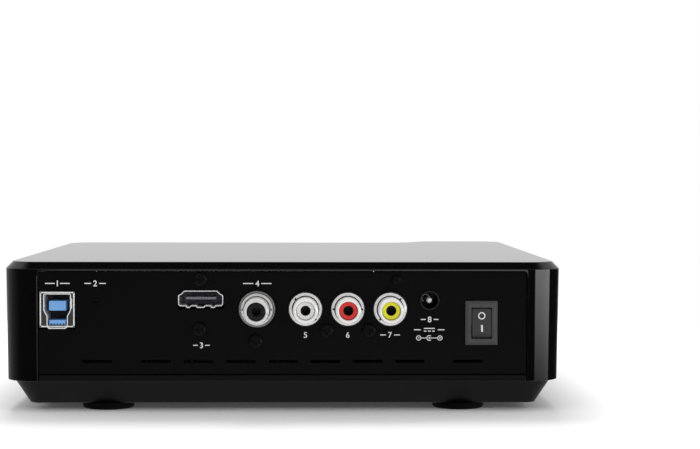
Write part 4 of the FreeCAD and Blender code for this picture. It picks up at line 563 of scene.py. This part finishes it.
poles += [bar(INLET_ACROSS + POLE_REACH, POLE_UP, SIGN_THICK, SIGN_SIZE)]
print_group("pole_mark", poles)

# ==================================================================== phono sockets
# Each socket is a nickel-plated sleeve with a flange, pressed into a black plastic block.
# A plastic insulator inside it, white, red, yellow or black, holds the middle contact.
PHONO_Z = 33.9
SLEEVE, SLEEVE_BORE, FLANGE = 4.15, 3.05, 5.4
FLANGE_THICK, BEAD_RISE = 0.5, 0.25
BEAD_IN, BEAD_OUT = 4.5, 5.0
BLOCK_PROUD = 0.5
PHONO_SEAT = PANEL_Y / MM + BLOCK_PROUD
BURIED = 8.0
AV_REACH, AV_DISC_SET = 9.0, 2.2
COAX_X, COAX_REACH, COAX_DISC_SET = 8.6, 12.5, 1.6
COAX_COLLAR, COLLAR_FLOOR = 5.25, 2.0


def turned(name, profile, x, z, sides=96, dent=None):
    """A turned part: the profile (radius, height) revolved about an axis along +Y at x and z.
    dent(angle, radius, height) can lower the height at some angles."""
    outline = np.asarray(profile, float)
    angle = np.linspace(0, 2 * np.pi, sides + 1)[:-1][:, None]
    radius = np.broadcast_to(outline[:, 0], (sides, len(outline)))
    height = np.broadcast_to(outline[:, 1], radius.shape)
    if dent:
        height = dent(angle, radius, height)
    grid = np.stack([x + radius * np.sin(angle), height, z + radius * np.cos(angle)], axis=-1)
    return skin(name, grid, wrap_u=True, wrap_v=True)


def eased(points, reach, steps=4):
    """A closed profile with each corner rounded off over the given reach along both sides.
    A rounded corner is the parabola (1-t)^2 a + 2t(1-t) corner + t^2 b."""
    corners = np.asarray(points, float)
    t = np.linspace(0, 1, steps + 1)[:, None]
    smooth = []
    for before, corner, after in zip(np.roll(corners, 1, 0), corners, np.roll(corners, -1, 0)):
        if corner[0] == 0:
            smooth.append(corner[None])
            continue
        back, ahead = before - corner, after - corner
        a = corner + back * min(0.45, reach / np.hypot(*back))
        b = corner + ahead * min(0.45, reach / np.hypot(*ahead))
        smooth.append((1 - t) ** 2 * a + 2 * t * (1 - t) * corner + t ** 2 * b)
    return np.vstack(smooth)


def plated(name, colour, roughness, metallic=1.0, shade_below=None):
    """Bright plated metal, a little clouded. Less than fully metallic, it is a satin plating.
    The last argument is (grey, y): below that height along Y the colour is that grey, painted shade at the
    foot of a sleeve."""
    finish = Finish(name, colour, roughness, {"Metallic": metallic})
    cloud = finish.noise(1.4, 3)
    # Painted shade: below a height along Y the colour turns to the given grey.
    if shade_below:
        grey, level = shade_below
        height = finish.node("SeparateXYZ", None, {0: finish.place()}, "Y") * 1000
        unshaded = finish.ramp(height, level - 0.1, level + 0.1)
        finish.set({"Base Color": finish.mixed(unshaded, (grey, grey, grey, 1), (*colour, 1))})
    finish.set({"Roughness": between(cloud, roughness - 0.05, roughness + 0.07)})
    finish.bump(finish.noise(0.8, 2), 0.002, 0.3)
    return finish.material


def moulded(name, colour, roughness=0.35):
    """Coloured plastic with a soft sheen and slightly uneven dye."""
    finish = Finish(name, colour, roughness)
    dark = tuple(part * 0.86 for part in colour)
    finish.set({"Base Color": finish.mixed(finish.noise(2.5, 3), (*dark, 1), (*colour, 1)),
                "Roughness": between(finish.noise(0.8, 2), roughness - 0.05, roughness + 0.1)})
    finish.bump(finish.noise(0.3, 2), 0.006, 0.4)
    return finish.material


def pitted(turn_deg, low):
    """Two small pits opposite each other in the flange beside the sleeve, at an angle in degrees."""
    def dent(angle, radius, height):
        off = np.abs((angle - np.radians(turn_deg) + np.pi / 2) % np.pi - np.pi / 2)
        pit = (off < 0.075) & (radius > BEAD_IN - 0.1) & (radius < BEAD_OUT) & (height > low + 0.1)
        return np.where(pit, low + 0.06, height)
    return dent


def sleeve(name, x, reach, metal, pit_deg, collar=None):
    """The plated sleeve as one closed profile: its tube, and the flange that holds it in the block.
    The flange has a raised bead. A coaxial socket's stands on a deeper stepped collar."""
    tip = REAR + reach
    seat = PHONO_SEAT
    foot = seat - BURIED
    step = seat + FLANGE_THICK
    outer = [(SLEEVE, foot), (SLEEVE, seat), (FLANGE, seat), (FLANGE, step - 0.15),
             (FLANGE - 0.15, step), (BEAD_OUT + 0.05, step), (BEAD_OUT, step + BEAD_RISE),
             (BEAD_IN, step + BEAD_RISE), (BEAD_IN - 0.02, seat + 0.05)]
    low = seat
    if collar:
        low = seat + COLLAR_FLOOR
        rise = low + 0.6
        outer = [(SLEEVE, foot), (SLEEVE, seat), (FLANGE + 0.5, seat), (FLANGE + 0.5, step),
                 (FLANGE + 0.25, step + 0.15), (collar + 0.05, step - 0.1), (collar, rise - 0.3),
                 (collar - 0.25, rise), (BEAD_IN, rise), (BEAD_IN - 0.02, low)]
    outer += [(SLEEVE + 0.04, outer[-1][1]), (SLEEVE, outer[-1][1] + 0.2), (SLEEVE, tip - 0.6),
              (SLEEVE - 0.25, tip - 0.15), (SLEEVE - 0.4, tip - 0.15), (SLEEVE - 0.45, tip),
              (SLEEVE_BORE + 0.15, tip), (SLEEVE_BORE, tip - 0.25), (SLEEVE_BORE, foot)]
    piece = turned(name + "_plated_sleeve", eased(outer, 0.1), x, PHONO_Z, 240, pitted(pit_deg, low))
    return fit(piece, name + "_sleeve", metal)


def insulator(name, x, reach, set_back, material):
    """The insulator: a disc with a raised lip round the hole, and inside it a contact cup in dark plastic,
    which paints the shade in the hole.
    """
    face = REAR + reach - set_back
    hole, lip = 1.65, 0.35
    foot = PANEL_Y / MM - 6
    profile = [(0, foot), (SLEEVE_BORE - 0.02, foot), (SLEEVE_BORE - 0.02, face - 0.7),
               (SLEEVE_BORE - 0.2, face - 0.65), (SLEEVE_BORE - 0.2, face),
               (hole + lip + 0.25, face), (hole + lip, face + 0.12), (hole + 0.12, face + 0.12),
               (hole, face - 0.1), (hole, face - 6), (0, face - 6)]
    piece = turned(name + "_disc", eased(profile, 0.1), x, PHONO_Z)
    cup = [(0, face - 5.9), (hole - 0.03, face - 5.9), (hole - 0.03, face - 0.3),
           (hole - 0.3, face - 0.35), (hole - 0.45, face - 5.2), (0, face - 5.2)]
    # The contact cup is dark plastic: painted shade deep in the hole.
    contact = turned(name + "_contact_painted_shade", eased(cup, 0.08), x, PHONO_Z, 48)
    fit(contact, name + "_insulator", dark_plastic)
    return fit(piece, name + "_insulator", material)


dark_plastic = moulded("dark_plastic", (0.004, 0.004, 0.005), 0.42)
# The sleeves' plating is painted darker below a height near the seat, as shade at the foot of each sleeve.
nickel = plated("satin_nickel", (0.97, 0.96, 0.95), 0.24, 0.36, (0.03, PHONO_SEAT + 0.3))
coax_nickel = plated("coax_nickel", (0.80, 0.79, 0.78), 0.26, 0.4, (0.3, PHONO_SEAT + COLLAR_FLOOR + 0.2))
AV = (("left", -7.3, 45, moulded("white_plastic", (0.93, 0.93, 0.92))),
      ("right", -21.2, 90, moulded("red_plastic", (0.86, 0.035, 0.03))),
      ("composite", -35.1, 135, moulded("yellow_plastic", (0.93, 0.90, 0.03))))
for name, x, pit_deg, colour in AV:
    sleeve(name, x, AV_REACH, nickel, pit_deg)
    insulator(name, x, AV_REACH, AV_DISC_SET, colour)
sleeve("coax", COAX_X, COAX_REACH, coax_nickel, 90, COAX_COLLAR)
insulator("coax", COAX_X, COAX_REACH, COAX_DISC_SET, dark_plastic)
for node in ("av_block", "coax_body"):
    fit(trimmed(node, 0.2), node, dark_plastic)

# ==================================================================== data and video sockets
# Both are folded tin-plated shells that hold a plastic tongue with the contacts.
# They are soldered under the board, so both sit upside down.


def drawn(name, outline, back, front, x, z):
    """A bar of constant section: the outline (across, up) about x and z, carried along Y."""
    flat = np.asarray(outline, float)
    number = np.arange(len(flat))
    ends = [np.column_stack([x - flat[:, 0], np.full(len(flat), y), z + flat[:, 1]])
            for y in (back, front)]
    after = np.roll(number, -1)
    sides = np.stack([number, after, after + len(flat), number + len(flat)], axis=1)
    mesh = bpy.data.meshes.new(name)
    mesh.from_pydata((np.vstack(ends) * MM).tolist(), [],
                     sides.tolist() + [number[::-1].tolist(), (number + len(flat)).tolist()])
    return settled(name, mesh)


def hollow(name, outer, inner, back, front, x, z):
    """A band between two outlines with as many points each, carried along Y and closed at its ends."""
    corners = [(outer, back), (outer, front), (inner, front), (inner, back)]
    grid = np.stack([np.column_stack([x - flat[:, 0], np.full(len(flat), y), z + flat[:, 1]])
                     for flat, y in corners], axis=1)
    return skin(name, grid, wrap_u=True, wrap_v=True)


def inset(outline, depth):
    """An anticlockwise outline moved inwards: each corner goes along the sum of its two edges'
    normals, divided by one plus their product, times the depth."""
    flat = np.asarray(outline, float)
    edge = np.roll(flat, -1, 0) - flat
    normal = np.column_stack([-edge[:, 1], edge[:, 0]]) / np.hypot(edge[:, 0], edge[:, 1])[:, None]
    before = np.roll(normal, 1, 0)
    return flat + depth * (normal + before) / (1 + (normal * before).sum(axis=1))[:, None]


def around(outline, angles):
    """Where rays from the middle at some angles meet an outline: cross products of the ray with each
    edge give how far along both the meeting is, and the one that lies on its edge counts."""
    flat = np.asarray(outline, float)
    edge = np.roll(flat, -1, 0) - flat
    ray = np.stack([np.cos(angles), np.sin(angles)], axis=1)
    facing = ray[:, :1] * edge[:, 1] - ray[:, 1:] * edge[:, 0]
    facing = np.where(np.abs(facing) < 1e-12, 1e-12, facing)
    reach = (flat[:, 0] * edge[:, 1] - flat[:, 1] * edge[:, 0]) / facing
    along = (flat[:, 0] * ray[:, 1:] - flat[:, 1] * ray[:, :1]) / facing
    met = (along > -1e-6) & (along < 1 + 1e-6) & (reach > 0)
    return ray * np.where(met, reach, np.inf).min(axis=1)[:, None]


def mirrored(right):
    """A closed outline from its right half, given from its lowest point up."""
    return right + [(-across, up) for across, up in reversed(right)]


tin = plated("tin_plate", (0.94, 0.93, 0.94), 0.27, 0.42)
# Near-black steel: painted shade on the plate set back in the data socket's mouth and on its left spring.
shade_dark_steel = plated("steel_painted_shade", (0.05, 0.048, 0.045), 0.5, 0.4)
blue = moulded("blue_plastic", (0.17, 0.40, 0.78), 0.38)
DATA_X, DATA_Z, DATA_RIM = 73.85, 33.6, PANEL_Y / MM + 0.6
DATA_PLATE, DATA_BORE, DATA_LENGTH, DATA_WALL = 0.3, 9.0, 16.5, 0.42
bottom_tab = [(2.75, -6.15), (3.3, -5.6), (5.65, -5.6), (5.65, 5.95)]
shell = np.array(eased(mirrored(bottom_tab), 0.25))
mouth = [(3.15, -5.2), (3.15, -2.0), (4.2, -0.1), (4.2, 5.1)]
mouth = eased(mirrored(mouth), 0.3)
fit(soften(hollow("data_shell", shell, inset(shell, DATA_WALL), DATA_RIM - DATA_LENGTH, DATA_RIM,
                  DATA_X, DATA_Z), 0.1), "data_socket_shell", tin)
bearings = np.unique(np.round(np.arctan2(*np.vstack([shell, mouth]).T[::-1]), 6))
# The plate set back in the mouth is near-black, painted shade.
plate = hollow("data_mouth_plate", around(inset(shell, DATA_WALL - 0.02), bearings),
               around(inset(mouth, -0.3), bearings), DATA_RIM - DATA_PLATE - 0.4,
               DATA_RIM - DATA_PLATE, DATA_X, DATA_Z)
fit(plate, "data_socket_shell", shade_dark_steel)
fit(soften(hollow("data_mouth_liner", inset(mouth, -0.32), mouth, DATA_RIM - DATA_BORE, DATA_RIM - 0.1,
                  DATA_X, DATA_Z), 0.08), "data_socket_shell", tin)
# The left spring is near-black, painted shade on that side; the right one is tin.
for side, across, width in (("left", -4.85, 0.5), ("right", 4.7, 0.3)):
    leaf = [(width / 2, -1.6), (width / 2, 1.6), (width / 2 - 0.1, 1.8)]
    leaf = [(x + across, z + 2.1) for x, z in eased(mirrored(leaf), 0.1)]
    fit(soften(drawn("data_spring_" + side, leaf, DATA_RIM - 1.2, DATA_RIM - 0.12, DATA_X, DATA_Z),
               0.08), "data_socket_shell", shade_dark_steel if side == "left" else tin)
back_wall = [(5.2, -5.5), (5.2, 5.5)]
fit(drawn("data_back_wall", mirrored(back_wall), DATA_RIM - DATA_LENGTH + 0.5, DATA_RIM - DATA_BORE + 0.5,
          DATA_X, DATA_Z), "data_socket_insert", dark_plastic)
tongue = [(2.8, -0.25), (2.8, 2.9)]
fit(soften(drawn("data_tongue", mirrored(tongue), DATA_RIM - DATA_BORE, DATA_RIM - 1.2,
                 DATA_X, DATA_Z), 0.15), "data_socket_insert", blue)
# The lower tongue has a groove for each of its five contacts.
grooves = []
for across in np.linspace(-2.0, 2.0, 5):
    grooves += [(across - 0.2, -4.85), (across - 0.12, -4.3), (across + 0.12, -4.3), (across + 0.2, -4.85)]
ledge = grooves + [(2.65, -4.85), (2.65, -3.35), (-2.65, -3.35), (-2.65, -4.85)]
fit(soften(drawn("data_ledge", ledge, DATA_RIM - DATA_BORE, DATA_RIM - 0.8, DATA_X, DATA_Z), 0.05),
    "data_socket_insert", blue)

VIDEO_X, VIDEO_Z, VIDEO_RIM = 27.05, 36.9, PANEL_Y / MM + 0.3
VIDEO_WALL, VIDEO_LENGTH, VIDEO_BORE = 0.27, 11.0, 8.0
fold_up, fold_low = -2.05, -2.6
right = [(1.2, fold_low), (1.5, fold_up), (3.2, fold_up), (3.5, fold_low), (4.65, fold_low),
         (4.85, fold_up), (6.8, fold_up), (7.35, -1.5), (7.35, 1.5), (6.3, 2.1), (5.35, 3.05)]
shell = eased(mirrored(right), 0.12, 2)
fit(soften(hollow("video_shell", shell, inset(shell, VIDEO_WALL), VIDEO_RIM - VIDEO_LENGTH, VIDEO_RIM,
                  VIDEO_X, VIDEO_Z), 0.06), "video_socket_shell", tin)
back_wall = [(6.9, -1.9), (6.9, 1.4), (5.2, 2.6)]
video_dark = moulded("video_plastic", (0.055, 0.05, 0.075), 0.4)
fit(drawn("video_back_wall", mirrored(back_wall), VIDEO_RIM - VIDEO_LENGTH,
          VIDEO_RIM - VIDEO_BORE + 0.5, VIDEO_X, VIDEO_Z), "video_socket_insert", video_dark)


def ribbed_plastic(name, colour, pitch_mm):
    """Plastic with contact strips across it: a sine of the distance along X sets bright and dark."""
    finish = Finish(name, colour, 0.35)
    across = finish.node("SeparateXYZ", None, {0: finish.place()}, "X") * (2000 * math.pi / pitch_mm)
    strip = finish.node("Math", {"operation": "SINE"}, {0: across}) > 0.2
    finish.set({"Base Color": finish.mixed(strip, (*colour, 1), (0.30, 0.29, 0.33, 1)),
                "Metallic": strip * 0.5})
    return finish.material


tongue = [(5.0, 0.1), (5.0, 0.9)]
fit(soften(drawn("video_tongue", mirrored(tongue), VIDEO_RIM - VIDEO_BORE, VIDEO_RIM - 1.5,
                 VIDEO_X, VIDEO_Z), 0.08), "video_socket_insert",
    ribbed_plastic("video_tongue_plastic", (0.10, 0.09, 0.13), 0.5))

# ==================================================================== power inlet and reset
# The inlet is a black barrel with a bright middle pin, flush with the panel.
# The reset switch sits behind a pinhole in a shallow dimple.
fit(trimmed("dc_jack_body", 0.15), "dc_jack_body", dark_plastic)
paint("dc_jack_pin", plated("pin_nickel", (0.88, 0.87, 0.85), 0.22, 0.6))
for node in ("reset_switch_body", "reset_plunger"):
    paint(node, dark_plastic)
# A curled leaf spring at one side of the bore grips the plug.
INLET_X, INLET_Z = -48.1, 36.7
LEAF_RADIUS, LEAF_THICK, LEAF_DEEP, LEAF_SET = 1.3, 0.14, 9, 1.4
swing = np.radians(np.linspace(10, 235, 28))
curl = [(-1.2 + radius * np.cos(a), 0.75 + radius * np.sin(a))
        for radius, run in ((LEAF_RADIUS, swing), (LEAF_RADIUS - LEAF_THICK, swing[::-1])) for a in run]
leaf = drawn("inlet_leaf_spring", curl, PANEL_Y / MM - LEAF_DEEP, PANEL_Y / MM - LEAF_SET,
             INLET_X, INLET_Z)
fit(leaf, "dc_jack_body", plated("spring_steel", (0.35, 0.35, 0.35), 0.3), False)

# ==================================================================== rocker switch
# A snap-in switch: a mitred frame round a rocker, both in grey-black satin plastic.
# The rocker's off end, with a ring, is pressed in, and its on end, with a bar, stands proud.
switch_black = matte_black("switch_black", 0.065, 0.2, 0.006, 0.4)
rocker_black = matte_black("rocker_black", 0.045, 0.2, 0.006, 0.42)
fit(trimmed("switch_frame", 0.12), "switch_frame", switch_black)
fit(trimmed("rocker", 0.25, 3), "rocker", rocker_black)
paint("switch_terminals", tin)
SWITCH_ACROSS, SWITCH_UP, SWITCH_FACE = 65.1, 29.4, 89.75
ROCKER_RISE, PIVOT_DEPTH = math.radians(20), 3.0
APEX_UP = PIVOT_DEPTH * math.tan(ROCKER_RISE / 2)


def rocker_print(name, figure, tilt):
    """A figure on one half of the rocker: heights below the middle ride up the tilted face."""
    points = np.asarray(figure[0], float)
    along = points[:, 1]
    up = SWITCH_UP + APEX_UP + along * math.cos(tilt)
    y = SWITCH_FACE - along * math.sin(tilt) + PRINT_PROUD
    printed(name, np.column_stack([-(SWITCH_ACROSS + points[:, 0]), y, up]), figure[1], "rocker")


rocker_print("off_mark", hoop(0, 1.9, 1.02, 0.34), 0)
rocker_print("on_mark", bar(0, -2.3, 0.6, 2.3), ROCKER_RISE)

# ==================================================================== screws
# Pan heads with a cross recess: black oxide outside, zinc inside the case.
# They hold the panel, the case, the boards, the cage and the drive. The small steel parts match.
black_steel = matte_black("black_oxide", 0.0015, 0.3, 0.01, 0.34)
zinc = plated("zinc_plate", (0.62, 0.63, 0.65), 0.32)
for node in ("panel_screws", "case_screws"):
    paint(node, black_steel)
for node in ("board_screws", "cage_screws", "drive_screws", "handle_pin", "latch_spring"):
    paint(node, zinc)

# ==================================================================== front
# The bezel fills the cover's front opening and follows its curve to the pod at the left.
# The pod holds the power button above a smoked window for the lamps and the receiver.


def smoked():
    finish = Finish("smoked_window", (0.03, 0.012, 0.012), 0.06,
                    {"Transmission Weight": 0.6, "IOR": 1.49})
    finish.set({"Roughness": between(finish.noise(4, 2), 0.04, 0.1)})
    return finish.material


fit(trimmed("front_bezel", 0.25), "front_bezel", piano_black)
fit(trimmed("power_button", 0.2), "power_button", piano_black)
paint("status_window", smoked())

# ==================================================================== boards
# Glass-fibre boards under green lacquer carry the chips, the cans, the sockets and a black cooler.
# Copper tracks show through the lacquer as a slightly lighter, raised pattern.
# Flat cables in dark film join the boards.


def lacquer():
    finish = Finish("board_lacquer", (0.012, 0.10, 0.035), 0.35)
    tracks = finish.node("TexBrick", {"offset": 0.5}, {
        "Vector": finish.place(), "Scale": 260.0, "Mortar Size": 0.12, "Color1": (0, 0, 0, 1),
        "Color2": (0.3, 0.3, 0.3, 1), "Mortar": (1, 1, 1, 1)})
    finish.set({"Base Color": finish.mixed(tracks, (0.008, 0.075, 0.026, 1), (0.02, 0.16, 0.055, 1))})
    finish.bump(tracks, 0.02, 0.5)
    return finish.material


board_green = lacquer()
for node in ("main_board", "front_board", "backplane_board", "drive_board"):
    paint(node, board_green)
epoxy = matte_black("chip_epoxy", 0.02, 0.15, 0.008, 0.6)
for node in ("processor", "memory_chips", "power_tact_switch", "infrared_receiver",
             "drive_socket", "drive_plug"):
    paint(node, epoxy)
paint("heat_sink", matte_black("anodised_black", 0.004, 0.4, 0.008, 0.45))
paint("capacitors", plated("bare_aluminium", (0.6, 0.61, 0.62), 0.38))
film = moulded("cable_film", (0.012, 0.012, 0.013), 0.4)
for node in ("front_ribbon", "drive_ribbon"):
    paint(node, film)
paint("status_leds", moulded("lamp_lens", (0.45, 0.7, 0.85), 0.15))

# ==================================================================== drive bay, tray and drive
# A zinc-plated cage guides the tray, a black moulded tub that carries a hard drive.
# The tray's fascia is piano black and holds a folding handle and its latch button.


def brushed(name, colour, roughness, stretch=(1, 60, 60)):
    """Sheet metal with fine straight brush lines."""
    finish = Finish(name, colour, roughness, {"Metallic": 1.0})
    place = finish.node("Mapping", None, {"Vector": finish.place(), "Scale": stretch})
    lines = finish.node("TexNoise", None, {"Vector": place, "Scale": 60.0, "Detail": 3.0})
    finish.set({"Roughness": between(lines, roughness - 0.08, roughness + 0.1)})
    finish.bump(lines, 0.004, 0.4)
    return finish.material


def cast():
    finish = Finish("cast_alloy", (0.34, 0.34, 0.35), 0.5, {"Metallic": 1.0})
    finish.set({"Roughness": between(finish.noise(1.2, 4), 0.42, 0.62)})
    finish.bump(finish.noise(0.6, 4), 0.03, 0.6)
    return finish.material


paint("drive_cage", brushed("cage_zinc", (0.58, 0.59, 0.6), 0.36, (1, 40, 1)))
fit(trimmed("drive_casting", 0.4), "drive_casting", cast())
fit(trimmed("drive_lid", 0.25), "drive_lid", brushed("lid_steel", (0.62, 0.62, 0.63), 0.3))
fit(trimmed("tray_frame", 0.25), "tray_frame", matte_black("tray_black", 0.02, 0.3, 0.012, 0.55))
for node in ("tray_fascia", "tray_handle", "latch_button"):
    fit(trimmed(node, 0.25), node, piano_black)
